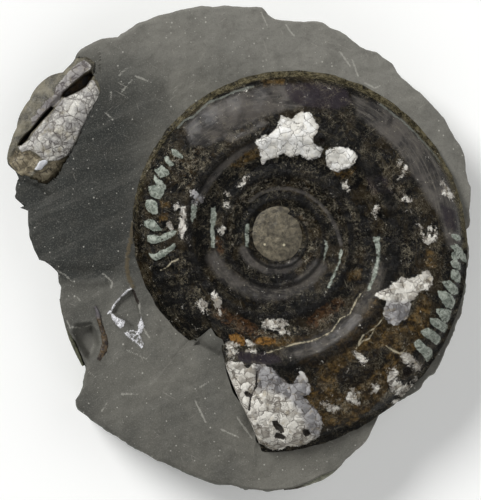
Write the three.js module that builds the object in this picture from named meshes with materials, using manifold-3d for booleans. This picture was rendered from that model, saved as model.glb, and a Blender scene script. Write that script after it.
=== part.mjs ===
// An ammonite in its block of grey limestone, lying on the block's broken back with the shell uppermost.
// Millimetres, +Z up, origin under the middle of the block on the face that it rests on. Seen from above,
// +Y is the top of the view, and the coil grows clockwise to its broken mouth at the lower left.
import * as THREE from 'three';
import { mergeVertices } from 'three/addons/utils/BufferGeometryUtils.js';
import Module from 'manifold-3d';

const { degToRad, euclideanModulo, lerp, radToDeg, smoothstep } = THREE.MathUtils;
const wasm = await Module();
wasm.setup();

// Driving dimensions
const BLOCK_LENGTH = 172; // along Y
const KEEL_HEIGHT = 24; // of the shell's middle plane above the resting face
const KEEL_RADIUS = 73.8; // from the coil's centre to the keel, straight below it
const EXPANSION = 1.62; // growth of the coil in one whole turn
const ROCK_TOP = 25.4; // of the rock's upper face, away from the shell
const FIT_GAP = 0.3; // between a fossil and the rock round it
const ABOVE_ALL = 60; // upper end of whatever is cut out of the rock from above
const BED_SLACK = 0.3; // more room round the shell, whose facets differ from those of its bed

// Outlines are points read by eye from the top view, on a grid in which the block is 492 long.
const GRID_LENGTH = 492;
const GRID_CENTRE = [240, 250.6];
const GRID = BLOCK_LENGTH / GRID_LENGTH;
const fromGrid = ([x, y]) => new THREE.Vector2((x - GRID_CENTRE[0]) * GRID, (GRID_CENTRE[1] - y) * GRID);

const BLOCK_OUTLINE = [
  [5.5, 160], [10, 141], [15, 128], [21, 109], [28, 99], [31, 92], [42, 79], [49, 74], [62, 71], [72, 61],
  [75, 55], [80, 48], [99, 38], [118, 36.5], [120, 33], [131, 27], [138, 22], [152, 16], [170, 12],
  [181, 8.5], [200, 4.8], [212, 6], [223, 4.6], [250, 6], [264, 7], [270, 14], [281, 19], [303, 21],
  [321, 20.5], [331, 27], [346, 33], [354, 41], [368, 48], [378, 52], [392, 61], [402, 76], [414, 87],
  [430, 100], [446, 119], [458, 139], [466, 154], [467.5, 171], [473.5, 186], [474, 208], [475, 222],
  [471, 230], [474.5, 245], [472, 272], [468, 305], [458, 334], [447, 362], [439, 375], [432, 379],
  [425, 391], [400, 405], [381, 419], [374, 431], [366, 445], [345, 462], [338, 471], [317, 484],
  [296, 494], [266, 496.6], [236, 494], [205, 487.5], [176, 475], [142, 458], [103, 434], [75, 412],
  [71.5, 405], [79, 387], [81, 371], [70, 346], [63, 322], [59, 300], [60, 287], [57, 274], [44, 262],
  [38, 260], [30, 243], [26, 218], [27, 209], [15, 206], [13.5, 194], [16, 178], [11, 169],
];
const SECOND_AMMONITE_OUTLINE = [
  [6.5, 160], [10.6, 142], [16, 128], [22, 109], [29, 99], [32, 92], [43, 79.5], [49.5, 75], [63, 71.5],
  [72.5, 62], [76, 56], [87, 56], [95, 62], [93, 71], [98, 80], [101, 90], [98, 101], [92, 112],
  [84, 130], [74, 152], [65, 166], [60, 176], [51, 184], [44, 187], [32, 180], [19, 175], [12, 168],
];
const SLOT_OUTLINE = [
  [17, 144], [31, 128], [44, 114], [58, 100], [70, 90], [84, 78], [92, 75.5], [92, 80], [82, 89], [68, 95],
  [56, 103], [46, 114], [34, 129], [22, 143],
];
const EDGE_SHELL_OUTLINE = [
  [59, 297], [62.6, 318], [69, 342], [76, 359], [81.5, 370], [85, 364], [78, 352], [72, 334], [67, 318],
  [62, 303],
];
const HOLLOW_SHELL_OUTLINE = [
  [93, 306], [99, 307], [103, 321], [108, 340], [107, 351], [100, 361], [96, 358], [101, 345], [99, 330],
];
const HOLLOW_OUTLINE = [ // broken open beside the hollow's shell
  [79, 323], [94, 322], [97.5, 331], [99.5, 345], [95, 357.5], [90, 360.5], [86, 359], [80, 350], [74, 334],
];
const CHIP_OUTLINE = [[132, 289], [141, 321], [124, 331], [111, 314], [118, 301]];
const RIM_SHELL_OUTLINE = [
  [283, 491], [300, 484], [322, 473], [343, 463.5], [336, 472], [316, 483], [296, 492.5],
];

// Shell section at one angle of the coil: distance from the centre and height over the middle plane,
// both as shares of the keel's radius there. From the keel over the flank to the umbilical seam.
const FLANK = [
  [1.0, 0], [0.982, 0.02], [0.955, 0.066], [0.925, 0.095], [0.88, 0.118], [0.83, 0.137],
  [0.77, 0.147], [0.7, 0.147], [0.64, 0.163], [0.6, 0.162], [0.565, 0.142], [0.5, 0.108], [0.44, 0.088],
  [0.43, 0.03],
];
const SECTION_MIDDLE = 0.76; // share where a section that grows goes neither in nor out
const LOWER_FLANK = [[0.56, -0.12], [0.6, -0.163], [0.78, -0.146], [0.93, -0.09]];
const BED_SECTION = [[1.0, 0], [1.0, 0.3], [0.532, 0.3], ...LOWER_FLANK]; // of the shell's bed, open above

// Angles round the coil are in degrees, counter-clockwise from +X, and go on past 360 into the inner whorls.
const COIL_CENTRE = fromGrid([280, 237]);
const MOUTH_ANGLE = -108;
const COIL_END_ANGLE = 1332;
const HALF_TURN = 180;
const PLAIN_STEP = 7; // degrees between sections where the shell has no ribs
const MIN_STEP = 0.9;
const INNER_STEP = 18;
const LAP_ANGLE = 2; // by which each half whorl starts inside the one before it
const LAP_INSET = 0.06;
const MOUTH_CLEARANCE = 1.2; // degrees between the mouth and the rock in front of it
const MOUTH_SLANT = 36; // degrees that the umbilical side of the mouth reaches past the keel side
const MOUTH_LEAD = 13; // degrees that the keel side stands back from the mouth's angle
const SLANT_SPAN = 70; // degrees before the mouth over which that slant builds up
const MOUTH_WEAR = 0.55; // share of the flank's height that is left at the worn edge of the mouth
const WORN_ANGLE = 3; // degrees over which the flank rises to its full height there
const RIB_ANGLES = [ // of the ribs that aren't worn away
  -38, -33.2, -29.2, -25.2, -20.5, -16.5, -12.6, -8.5, -4.4, -0.2,
  141.9, 145.9, 150.6, 155, 159.6, 166.6, 174.4, 180.6, 187.6, 193.6,
];
const RIB_HALF_ANGLE = 2; // degrees from a rib's crest to its foot
const RIB_HEIGHT = 0.6;
// Shares of the keel's radius where a rib starts, is full, fades and ends.
const RIB_BAND = [0.76, 0.85, 0.93, 0.97];
const BED_CORE_RADIUS = 43.4; // of the round bed below the inner whorls
const BED_CORE_DEPTH = 8.4;
const CORE_RADIUS = 9.8;
const CORE_HEIGHT = 1.7; // over the middle plane

const keelRadius = (angle) => KEEL_RADIUS * EXPANSION ** (-(angle + 90) / 360);

function ribRelief(angle, share) {
  const [start, full, fade, end] = RIB_BAND;
  const band = smoothstep(share, start, full) * (1 - smoothstep(share, fade, end));
  const nearest = Math.min(...RIB_ANGLES.map((rib) => Math.abs(rib - angle)));
  return RIB_HEIGHT * band * (1 - smoothstep(nearest, 0, RIB_HALF_ANGLE));
}

// A grid of columns by steps, closed at both ends by a fan: the one shape behind slabs and whorls.
function sweep(columns, steps, pointAt) {
  const geometry = new THREE.CylinderGeometry(1, 1, 1, columns, steps);
  const position = geometry.attributes.position;
  const middles = [0, steps].map((step) => {
    const sum = new THREE.Vector3();
    for (let column = 0; column < columns; column++) sum.add(pointAt(column, step));
    return sum.divideScalar(columns);
  });
  for (let i = 0; i < position.count; i++) {
    const [x, y, z] = [position.getX(i), position.getY(i), position.getZ(i)];
    const column = Math.round((Math.atan2(x, z) / (2 * Math.PI)) * columns + columns) % columns;
    const step = Math.round((0.5 - y) * steps);
    const onAxis = Math.hypot(x, z) < 0.5;
    const point = onAxis ? middles[step ? 1 : 0] : pointAt(column, step);
    position.setXYZ(i, point.x, point.y, point.z);
  }
  return geometry;
}

// The closed solid that a geometry encloses, its doubled corners merged and its faces without area left out.
function toSolid(geometry) {
  const bare = geometry.clone();
  bare.deleteAttribute('normal');
  bare.deleteAttribute('uv');
  const merged = mergeVertices(bare, 1e-4);
  const corners = [...(merged.index ? merged.index.array : merged.attributes.position.array.keys())];
  const faces = [];
  for (let i = 0; i < corners.length; i += 3) {
    const [a, b, c] = corners.slice(i, i + 3);
    if (a !== b && b !== c && c !== a) faces.push(a, b, c);
  }
  const vertProperties = merged.attributes.position.array;
  const asMesh = () => new wasm.Mesh({ numProp: 3, vertProperties, triVerts: new Uint32Array(faces) });
  const solid = new wasm.Manifold(asMesh());
  if (solid.volume() > 0) return solid;
  for (let i = 0; i < faces.length; i += 3) [faces[i], faces[i + 1]] = [faces[i + 1], faces[i]];
  return new wasm.Manifold(asMesh()); // the same faces, turned to face out
}

function toGeometry(solid) {
  const mesh = solid.getMesh();
  const geometry = new THREE.BufferGeometry();
  geometry.setAttribute('position', new THREE.BufferAttribute(mesh.vertProperties, mesh.numProp));
  geometry.setIndex(new THREE.BufferAttribute(mesh.triVerts, 1));
  const faceted = geometry.toNonIndexed();
  faceted.computeVertexNormals();
  return faceted;
}

// The outline moved outwards by this distance, with mitred corners.
function widen(points, distance) {
  const turn = Math.sign(THREE.ShapeUtils.area(points));
  const sideways = points.map((p, i) => {
    const along = points[(i + 1) % points.length].clone().sub(p).normalize();
    return new THREE.Vector2(along.y, -along.x).multiplyScalar(turn);
  });
  return points.map((p, i) => {
    const [before, after] = [sideways.at(i - 1), sideways[i]];
    const reach = distance / Math.max(0.25, 1 + before.dot(after));
    return p.clone().addScaledVector(before, reach).addScaledVector(after, reach);
  });
}

function prism(outline, low, high, grow = 0) {
  const shape = new THREE.Shape(widen(outline.map(fromGrid), grow));
  const geometry = new THREE.ExtrudeGeometry(shape, { depth: high - low, bevelEnabled: false });
  return toSolid(geometry.translate(0, 0, low));
}

// Shell

// Angles with a section of their own: where the worn mouth ends, each rib's crest, and its foot.
const MARKED_ANGLES = [
  MOUTH_ANGLE + WORN_ANGLE,
  ...RIB_ANGLES.flatMap((rib) => [rib - RIB_HALF_ANGLE, rib, rib + RIB_HALF_ANGLE]),
].sort((a, b) => a - b);

// Angles from one to the other, with the marked ones among them and no step much over the plain one.
function sectionAngles(from, to, plainStep, isMarked) {
  const angles = [from];
  const marked = isMarked ? MARKED_ANGLES.filter((angle) => angle > from && angle < to - MIN_STEP) : [];
  for (const next of [...marked, to]) {
    const last = angles.at(-1);
    if (next < last + MIN_STEP) continue;
    const steps = Math.ceil((next - last) / plainStep);
    for (let step = 1; step < steps; step++) angles.push(lerp(last, next, step / steps));
    angles.push(next);
  }
  return angles;
}

function whorlPoint([share, height], angle, grow) {
  const radius = keelRadius(angle);
  const nearMouth = smoothstep(MOUTH_ANGLE + SLANT_SPAN - angle, 0, SLANT_SPAN);
  const inward = (1 - share) / (1 - FLANK.at(-1)[0]);
  const slant = nearMouth * (MOUTH_SLANT * inward ** 1.5 - MOUTH_LEAD);
  const turned = degToRad(angle - slant);
  const worn = height > 0 && angle <= MOUTH_ANGLE ? MOUTH_WEAR : 1;
  const out = share * radius + grow * Math.sign(share - SECTION_MIDDLE);
  const relief = height > 0 && grow === 0 ? ribRelief(angle, share) : 0;
  const up = worn * height * radius + Math.sign(height) * grow + relief;
  return new THREE.Vector3(
    COIL_CENTRE.x + out * Math.cos(turned),
    COIL_CENTRE.y + out * Math.sin(turned),
    KEEL_HEIGHT + up,
  );
}

// The spiral tube with this section, from the mouth to the end angle, as half whorls joined one by one.
function spiral(section, startAngle, endAngle, grow, isMarked) {
  let whole = null;
  for (let from = startAngle; from < endAngle - 1; from += HALF_TURN) {
    const inOuterWhorl = from < startAngle + 2 * HALF_TURN;
    const to = Math.min(from + HALF_TURN, endAngle);
    const angles = sectionAngles(from, to, inOuterWhorl ? PLAIN_STEP : INNER_STEP, isMarked);
    if (whole) angles.unshift(from - LAP_ANGLE);
    const whorl = toSolid(sweep(section.length, angles.length - 1, (column, step) =>
      whorlPoint(section[column], angles[step], whole && step === 0 ? grow - LAP_INSET : grow)));
    whole = whole ? whole.add(whorl) : whorl;
  }
  return whole;
}

// A round geometry about +Y laid flat on the coil's centre.
function flatCore(geometry) {
  return toSolid(geometry.rotateX(Math.PI / 2).translate(COIL_CENTRE.x, COIL_CENTRE.y, KEEL_HEIGHT));
}

function ammonite() {
  const core = new THREE.SphereGeometry(CORE_RADIUS, 20, 8).scale(1, CORE_HEIGHT / CORE_RADIUS, 1);
  return spiral([...FLANK, ...LOWER_FLANK], MOUTH_ANGLE, COIL_END_ANGLE, 0, true).add(flatCore(core));
}

// Rock

// Radius of the shell's rim in the direction of this point from the coil's centre.
function rimRadius(x, y) {
  const angle = radToDeg(Math.atan2(y - COIL_CENTRE.y, x - COIL_CENTRE.x));
  return keelRadius(euclideanModulo(angle - MOUTH_ANGLE, 360) + MOUTH_ANGLE);
}

// Height of the rock's upper face: it dips towards the shell, is a step lower at the left below the crack,
// and falls away at the foot of the block and beyond the keel on the right.
function rockTop(x, y) {
  const beyondRim = Math.max(0, Math.hypot(x - COIL_CENTRE.x, y - COIL_CENTRE.y) - rimRadius(x, y));
  const dip = 1.4 * Math.exp(-((beyondRim / 14) ** 2));
  const foot = 2.2 * smoothstep(-y, 62, 88);
  const right = 3 * smoothstep(x, 62, 84);
  const step = 1.1 * smoothstep(-y, 4, 8) * smoothstep(-x, 40, 46);
  const crown = 0.5 * Math.sin(x / 21 + 1) * Math.cos(y / 26);
  return ROCK_TOP - dip - foot - right - step + crown;
}

const INNER_RINGS = [0.4, 0.93]; // of the upper face, as shares of the rim's radius
const TOP_RINGS = [0.03, 0.12, 0.27, 0.45, 0.65, 0.85, 0.97]; // shares of the way from there to the outline
// Side rings: height, and how far in from the outline they stand where the flank shows and where it doesn't.
const SIDE_RINGS = [
  { height: 22, shown: 1.9, hidden: 0 },
  { height: 15, shown: 0.5, hidden: 0.7 },
  { height: 9, shown: 0, hidden: 1.8 },
  { height: 3, shown: 1.6, hidden: 4 },
  { height: 0, shown: 4, hidden: 6.5 },
];
const BOTTOM_RINGS = [0.6, 0.2];
const CHIP_DEPTH = 3.4;
const SECOND_BED_GAP = 1.2; // round the second ammonite, which breaks off at the block's edge
const UPPER_EDGE_INSET = 1.6; // of the upper face where the flank shows below it

// 1 where the block bulges out below its upper edge, which is along its foot and its right side.
function flankShows(point) {
  const angle = radToDeg(Math.atan2(point.y, point.x));
  const foot = smoothstep(-angle, 55, 75) * (1 - smoothstep(-angle, 150, 158));
  const right = smoothstep(-angle, -22, 0) * (1 - smoothstep(-angle, 48, 56));
  const left = smoothstep(Math.abs(angle), 156, 162) * (angle < 0 ? 1 : 0);
  return Math.max(foot, right, left);
}

function topRadius(corner, step) {
  const reach = corner.distanceTo(COIL_CENTRE);
  const rim = Math.min(rimRadius(corner.x, corner.y), reach - 1);
  if (step < INNER_RINGS.length) return INNER_RINGS[step] * rim;
  const atEdge = step === INNER_RINGS.length + TOP_RINGS.length - 1;
  const inset = atEdge ? UPPER_EDGE_INSET * flankShows(corner) : 0;
  return lerp(rim, reach, TOP_RINGS[step - INNER_RINGS.length]) - inset;
}

function rockPoint(corner, step) {
  const reach = corner.distanceTo(COIL_CENTRE);
  const pointAt = (radius) => COIL_CENTRE.clone().lerp(corner, radius / reach);
  const topRings = INNER_RINGS.length + TOP_RINGS.length;
  if (step < topRings) {
    const at = pointAt(topRadius(corner, step));
    return new THREE.Vector3(at.x, at.y, rockTop(at.x, at.y));
  }
  const side = SIDE_RINGS[step - topRings];
  if (side) {
    const inset = lerp(side.hidden, side.shown, flankShows(corner));
    const isBroken = side.height > 0 && side.height < 20;
    const broken = isBroken ? 0.4 * (1 + Math.sin(corner.x * 0.9 + side.height)) : 0;
    const at = pointAt(reach - inset - broken);
    return new THREE.Vector3(at.x, at.y, Math.min(side.height, rockTop(at.x, at.y) - 1));
  }
  const at = pointAt(BOTTOM_RINGS[step - topRings - SIDE_RINGS.length] * reach);
  return new THREE.Vector3(at.x, at.y, 0);
}

function rockBlock() {
  const corners = BLOCK_OUTLINE.map(fromGrid);
  const rings = INNER_RINGS.length + TOP_RINGS.length + SIDE_RINGS.length + BOTTOM_RINGS.length;
  return toSolid(sweep(corners.length, rings - 1, (column, step) => rockPoint(corners[column], step)));
}

// The smooth hollow that a lost whorl left at the lower left.
function hollow() {
  const bowl = new THREE.SphereGeometry(1, 20, 10).scale(4.6, 8.4, 6);
  const middle = fromGrid([88, 341]);
  bowl.rotateZ(degToRad(17)).translate(middle.x, middle.y, ROCK_TOP);
  return toSolid(bowl).intersect(prism(HOLLOW_OUTLINE, 0, ABOVE_ALL));
}

// Fossil at the upper left: two flanks of a small whorl with an open slot between them.

const SECOND_AMMONITE_FOOT = 16;
const SECOND_AMMONITE_MIDDLE = fromGrid([58, 122]);
const SECOND_AMMONITE_RINGS = [0.2, 0.5, 0.75, 0.9, 1]; // of its top, as shares of the way to its outline
const SECOND_AMMONITE_FOOT_RINGS = [1, 0.3];
const SLOT_DEPTH = 4;

function secondAmmoniteTop(share, corner) {
  const crown = 1.5 * (1 - share ** 3);
  const lump = 0.35 * Math.sin(corner.x * 0.5 + share * 2) * Math.sin(corner.y * 0.4);
  return ROCK_TOP + 0.6 + crown + lump;
}

function secondAmmonite() {
  const corners = SECOND_AMMONITE_OUTLINE.map((point) => fromGrid(point).sub(SECOND_AMMONITE_MIDDLE));
  const shares = [...SECOND_AMMONITE_RINGS, ...SECOND_AMMONITE_FOOT_RINGS];
  const body = sweep(corners.length, shares.length - 1, (column, step) => {
    const onTop = step < SECOND_AMMONITE_RINGS.length;
    const height = onTop ? secondAmmoniteTop(shares[step], corners[column]) : SECOND_AMMONITE_FOOT;
    const at = corners[column].clone().multiplyScalar(shares[step]).add(SECOND_AMMONITE_MIDDLE);
    return new THREE.Vector3(at.x, at.y, height);
  });
  return toSolid(body).subtract(prism(SLOT_OUTLINE, ROCK_TOP - SLOT_DEPTH, ABOVE_ALL));
}

// Shell strips: outline, height of the lower edge and of the upper edge
const EDGE_SHELL = [EDGE_SHELL_OUTLINE, 11, 23.6];
const HOLLOW_SHELL = [HOLLOW_SHELL_OUTLINE, 17, 24.4];
const RIM_SHELL = [RIM_SHELL_OUTLINE, 12, 21.5];

function rock() {
  const chip = prism(CHIP_OUTLINE, ROCK_TOP - CHIP_DEPTH, ABOVE_ALL);
  const strips = [EDGE_SHELL, HOLLOW_SHELL, RIM_SHELL].map(([outline, low]) =>
    prism(outline, low - FIT_GAP, ABOVE_ALL, FIT_GAP));
  const secondBed = prism(SECOND_AMMONITE_OUTLINE, SECOND_AMMONITE_FOOT - FIT_GAP, ABOVE_ALL, SECOND_BED_GAP);
  const bedStart = MOUTH_ANGLE - MOUTH_CLEARANCE;
  const bed = spiral(BED_SECTION, bedStart, bedStart + 2 * HALF_TURN, FIT_GAP + BED_SLACK, false);
  const core = flatCore(new THREE.CylinderGeometry(BED_CORE_RADIUS, BED_CORE_RADIUS, BED_CORE_DEPTH * 2, 36));
  const cuts = [chip, hollow(), secondBed, bed, core, ...strips];
  return cuts.reduce((left, cut) => left.subtract(cut), rockBlock());
}

function piece(name, solid, color, roughness) {
  const material = new THREE.MeshStandardMaterial({ color, roughness, metalness: 0, flatShading: true });
  const mesh = new THREE.Mesh(toGeometry(solid), material);
  mesh.name = name;
  return mesh;
}

const fossil = new THREE.Group();
fossil.add(piece('limestone_block', rock(), 0x5d5c57, 0.75));
fossil.add(piece('ammonite', ammonite(), 0x2b241c, 0.4));
fossil.add(piece('second_ammonite', secondAmmonite(), 0xb9b4a8, 0.6));
fossil.add(piece('edge_shell', prism(...EDGE_SHELL), 0x4a4a36, 0.5));
fossil.add(piece('hollow_shell', prism(...HOLLOW_SHELL), 0x53402c, 0.6));
fossil.add(piece('rim_shell', prism(...RIM_SHELL), 0x8f8f7e, 0.55));

export default fossil;
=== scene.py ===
# The ammonite in its limestone block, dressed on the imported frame: metres, +Z up, seen from
# straight above.
import math

import bmesh
import bpy
import numpy as np
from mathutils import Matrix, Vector, noise


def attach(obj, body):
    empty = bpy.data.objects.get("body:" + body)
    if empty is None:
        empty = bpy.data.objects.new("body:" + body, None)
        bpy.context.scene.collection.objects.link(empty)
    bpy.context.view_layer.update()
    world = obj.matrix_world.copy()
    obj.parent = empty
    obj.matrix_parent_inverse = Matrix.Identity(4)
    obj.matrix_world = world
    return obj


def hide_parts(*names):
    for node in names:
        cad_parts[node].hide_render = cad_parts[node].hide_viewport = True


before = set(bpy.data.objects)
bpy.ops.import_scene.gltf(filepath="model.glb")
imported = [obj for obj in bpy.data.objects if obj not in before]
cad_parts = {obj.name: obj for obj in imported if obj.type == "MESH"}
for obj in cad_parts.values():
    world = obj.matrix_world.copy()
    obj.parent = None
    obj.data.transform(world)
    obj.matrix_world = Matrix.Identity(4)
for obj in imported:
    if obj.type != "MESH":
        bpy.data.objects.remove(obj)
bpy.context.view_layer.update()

# Shapes are worked out in millimetres and scaled once a piece is finished.
MM = 0.001
BLOCK_LENGTH = 172.0
GRID_LENGTH = 492.0  # the block's length on the drawing grid that the outlines are read on
GRID = BLOCK_LENGTH / GRID_LENGTH
GRID_CENTRE = np.array([240.0, 250.6])
KEEL_HEIGHT = 24.0  # the keel lies level, in the shell's middle plane
KEEL_RADIUS = 73.8  # from the coil's centre towards the foot of the photo
EXPANSION = 1.62  # how much larger each whorl is than the one inside it
ROCK_TOP = 25.4
SEAM_ANGLE = -131.0  # the angles round the coil begin here, beside the broken mouth
UPPER_SIDE = 20.0  # what lies higher than this is in view from above


def from_grid(points):
    """Points of the drawing grid, as millimetres seen from above."""
    return (np.array(points, dtype=float) - GRID_CENTRE) * [GRID, -GRID]


COIL_CENTRE = from_grid((280, 237))


def keel_radius(angle):
    """How far the keel is from the coil's centre at an angle in degrees."""
    return KEEL_RADIUS * EXPANSION ** (-(np.asarray(angle, dtype=float) + 90) / 360)


def smoothstep(value, low, high):
    """0 below low, 1 above high, and a soft rise between them."""
    share = np.clip((np.asarray(value, dtype=float) - low) / (high - low), 0, 1)
    return share * share * (3 - 2 * share)


def grain(x, y, size, seed=0.0, octaves=3):
    """Even noise from -1 to 1 with lumps of this size in millimetres."""
    place = zip((x / size + seed).tolist(), (y / size - seed).tolist())
    return np.array([noise.fractal((a, b, seed), 1.0, 2.0, octaves) for a, b in place])


def line_distance(x, y, line, closed=False):
    """Distance from each place to a drawn line, in millimetres."""
    corners = from_grid(line)
    ends = np.roll(corners, -1, axis=0) if closed else corners[1:]
    starts = corners if closed else corners[:-1]
    nearest = np.full(x.shape, 1e9)
    for (ax, ay), (bx, by) in zip(starts, ends):
        dx, dy = bx - ax, by - ay
        along = np.clip(((x - ax) * dx + (y - ay) * dy) / (dx * dx + dy * dy), 0, 1)
        nearest = np.minimum(nearest, np.hypot(x - ax - along * dx, y - ay - along * dy))
    return nearest


def inside(x, y, outline):
    """How far inside a drawn outline each place lies, in millimetres, and negative outside it."""
    corners = from_grid(outline)
    within = np.zeros(x.shape, dtype=bool)
    for (ax, ay), (bx, by) in zip(corners, np.roll(corners, -1, axis=0)):
        if ay != by:
            crosses = (ay > y) != (by > y)
            within ^= crosses & (x < (bx - ax) * (y - ay) / (by - ay) + ax)
    return np.where(within, 1, -1) * line_distance(x, y, outline, closed=True)


def patches(x, y, outlines):
    """The same for several outlines, of which the nearest counts."""
    return np.max([inside(x, y, outline) for outline in outlines], axis=0)


def strokes(x, y, lines, reach):
    """1 along drawn lines, fading to 0 at this distance."""
    return np.max([1 - smoothstep(line_distance(x, y, line), 0, reach) for line in lines], axis=0)


def smooth_curve(points, count):
    """A smooth line through these points, at even spacing."""
    points = np.array(points, dtype=float)
    before, after = np.roll(points, 1, axis=0), np.roll(points, -1, axis=0)
    before[0], after[-1] = points[0], points[-1]
    slopes = (after - before) / 2
    t = np.linspace(0, 1, 24, endpoint=False)[:, None]
    parts = []
    for p, q, m, n in zip(points[:-1], points[1:], slopes[:-1], slopes[1:]):
        parts.append(p * (1 + 2 * t) * (1 - t) ** 2 + m * t * (1 - t) ** 2
                     + q * t * t * (3 - 2 * t) + n * t * t * (t - 1))
    dense = np.vstack([*parts, points[-1:]])
    way = np.concatenate([[0], np.cumsum(np.hypot(*np.diff(dense, axis=0).T))])
    even = np.linspace(0, way[-1], count)
    return np.column_stack([np.interp(even, way, dense[:, 0]), np.interp(even, way, dense[:, 1])])


# building meshes

def drawn_tube(columns, rings, place):
    """A closed body of rings, made from a grid whose sides are joined and whose ends are closed.

    place takes the column and ring of every vertex and gives their x, y and z in millimetres.
    """
    bm = bmesh.new()
    bmesh.ops.create_grid(bm, x_segments=columns, y_segments=rings - 1, size=0.5)
    seat = np.array([v.co[:2] for v in bm.verts])
    column = np.rint((seat[:, 0] + 0.5) * columns).astype(int) % columns
    ring = np.rint((seat[:, 1] + 0.5) * (rings - 1)).astype(int)
    for vert, at in zip(bm.verts, np.column_stack(place(column, ring))):
        vert.co = at
    bmesh.ops.remove_doubles(bm, verts=bm.verts, dist=1e-4)
    bmesh.ops.holes_fill(bm, edges=[e for e in bm.edges if e.is_boundary], sides=0)
    bmesh.ops.recalc_face_normals(bm, faces=bm.faces)
    return bm


def finish_piece(bm, name, node, material, smooth_angle=40):
    """Turns a bmesh in millimetres into a piece of the object that stands for a node."""
    bmesh.ops.scale(bm, vec=(MM, MM, MM), verts=bm.verts)
    mesh = bpy.data.meshes.new(name)
    bm.to_mesh(mesh)
    bm.free()
    mesh.polygons.foreach_set("use_smooth", [True] * len(mesh.polygons))
    mesh.set_sharp_from_angle(angle=math.radians(smooth_angle))
    piece = bpy.data.objects.new(name, mesh)
    bpy.context.scene.collection.objects.link(piece)
    mesh.materials.append(material)
    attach(piece, "root")
    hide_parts(node)
    return piece


def corner_places(piece):
    """Where the piece's vertices lie, in millimetres."""
    flat = np.empty(len(piece.data.vertices) * 3)
    piece.data.vertices.foreach_get("co", flat)
    return flat.reshape(-1, 3).T / MM


def add_mask(piece, name, values):
    """Paints a value on each of the piece's vertices, which the materials read by this name."""
    layer = piece.data.attributes.new(name, "FLOAT", "POINT")
    layer.data.foreach_set("value", np.ascontiguousarray(values, dtype=np.float32))


# node helpers

def new_material(name):
    """A material with a Principled shader, and its node tree."""
    material = bpy.data.materials.new(name)
    material.use_nodes = True
    tree = material.node_tree
    tree.nodes.clear()
    shader = tree.nodes.new("ShaderNodeBsdfPrincipled")
    output = tree.nodes.new("ShaderNodeOutputMaterial")
    tree.links.new(shader.outputs["BSDF"], output.inputs["Surface"])
    return material, tree, shader


def put(tree, socket, value):
    """Sets a socket to a number or colour, or links another socket to it."""
    if isinstance(value, bpy.types.NodeSocket):
        tree.links.new(value, socket)
    elif hasattr(value, "__len__") and len(value) == 3 and socket.type == "RGBA":
        socket.default_value = (*value, 1)
    else:
        socket.default_value = value


def colour(red, green, blue):
    """A colour given as it looks on a screen, from 0 to 255."""
    shares = (red / 255, green / 255, blue / 255)
    return tuple(c / 12.92 if c < 0.0404 else ((c + 0.055) / 1.055) ** 2.4 for c in shares)


def maths(tree, operation, *values, clamp=False):
    """One step of arithmetic on values or sockets."""
    node = tree.nodes.new("ShaderNodeMath")
    node.operation = operation
    node.use_clamp = clamp
    for socket, value in zip(node.inputs, values):
        put(tree, socket, value)
    return node.outputs[0]


def times(tree, first, second, clamp=False):
    return maths(tree, "MULTIPLY", first, second, clamp=clamp)


def plus(tree, first, second):
    return maths(tree, "ADD", first, second)


def scaled(tree, value, factor, offset, clamp=False):
    return maths(tree, "MULTIPLY_ADD", value, factor, offset, clamp=clamp)


def span(tree, value, low, high, start=0.0, end=1.0):
    """Maps a value from low..high to start..end, smoothly and without overshoot."""
    node = tree.nodes.new("ShaderNodeMapRange")
    node.interpolation_type = "SMOOTHSTEP"
    names = ("Value", "From Min", "From Max", "To Min", "To Max")
    for name, given in zip(names, (value, low, high, start, end)):
        put(tree, node.inputs[name], given)
    return node.outputs["Result"]


def mixed(tree, factor, first, second):
    """From the first colour to the second as the factor goes from 0 to 1."""
    node = tree.nodes.new("ShaderNodeMix")
    node.data_type = "RGBA"
    put(tree, node.inputs["Factor"], factor)
    put(tree, node.inputs[6], first)
    put(tree, node.inputs[7], second)
    return node.outputs[2]


def laid(tree, under, amount, share, over):
    """Lays a colour over another by an amount that changes over the surface, times a share."""
    return mixed(tree, times(tree, amount, share), under, over)


def cloudy(tree, vector, scale, detail=4.0, roughness=0.55, distortion=0.0):
    """Noise from 0 to 1."""
    node = tree.nodes.new("ShaderNodeTexNoise")
    names = ("Vector", "Scale", "Detail", "Roughness", "Distortion")
    for name, given in zip(names, (vector, scale, detail, roughness, distortion)):
        put(tree, node.inputs[name], given)
    return node.outputs["Fac"]


def stretched(tree, vector, scale, turn=0.0, shift=0.0):
    """Places turned by some degrees round +Z, then scaled and moved along X and Y."""
    if turn:
        turned = tree.nodes.new("ShaderNodeMapping")
        put(tree, turned.inputs["Vector"], vector)
        turned.inputs["Rotation"].default_value = (0, 0, math.radians(turn))
        vector = turned.outputs["Vector"]
    node = tree.nodes.new("ShaderNodeMapping")
    put(tree, node.inputs["Vector"], vector)
    node.inputs["Scale"].default_value = scale
    node.inputs["Location"].default_value = (shift, shift, 0)
    return node.outputs["Vector"]


def object_millimetres(tree):
    """Places on the piece in millimetres."""
    places = tree.nodes.new("ShaderNodeTexCoord").outputs["Object"]
    return stretched(tree, places, (1000, 1000, 1000))


def mask(tree, name):
    """What add_mask painted on the piece's vertices."""
    node = tree.nodes.new("ShaderNodeAttribute")
    node.attribute_name = name
    return node.outputs["Fac"]


def bumped(tree, shader, height, strength, distance):
    """Low relief in the shader, with its distance in metres."""
    node = tree.nodes.new("ShaderNodeBump")
    node.inputs["Strength"].default_value = strength
    node.inputs["Distance"].default_value = distance
    put(tree, node.inputs["Height"], height)
    tree.links.new(node.outputs["Normal"], shader.inputs["Normal"])


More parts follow.
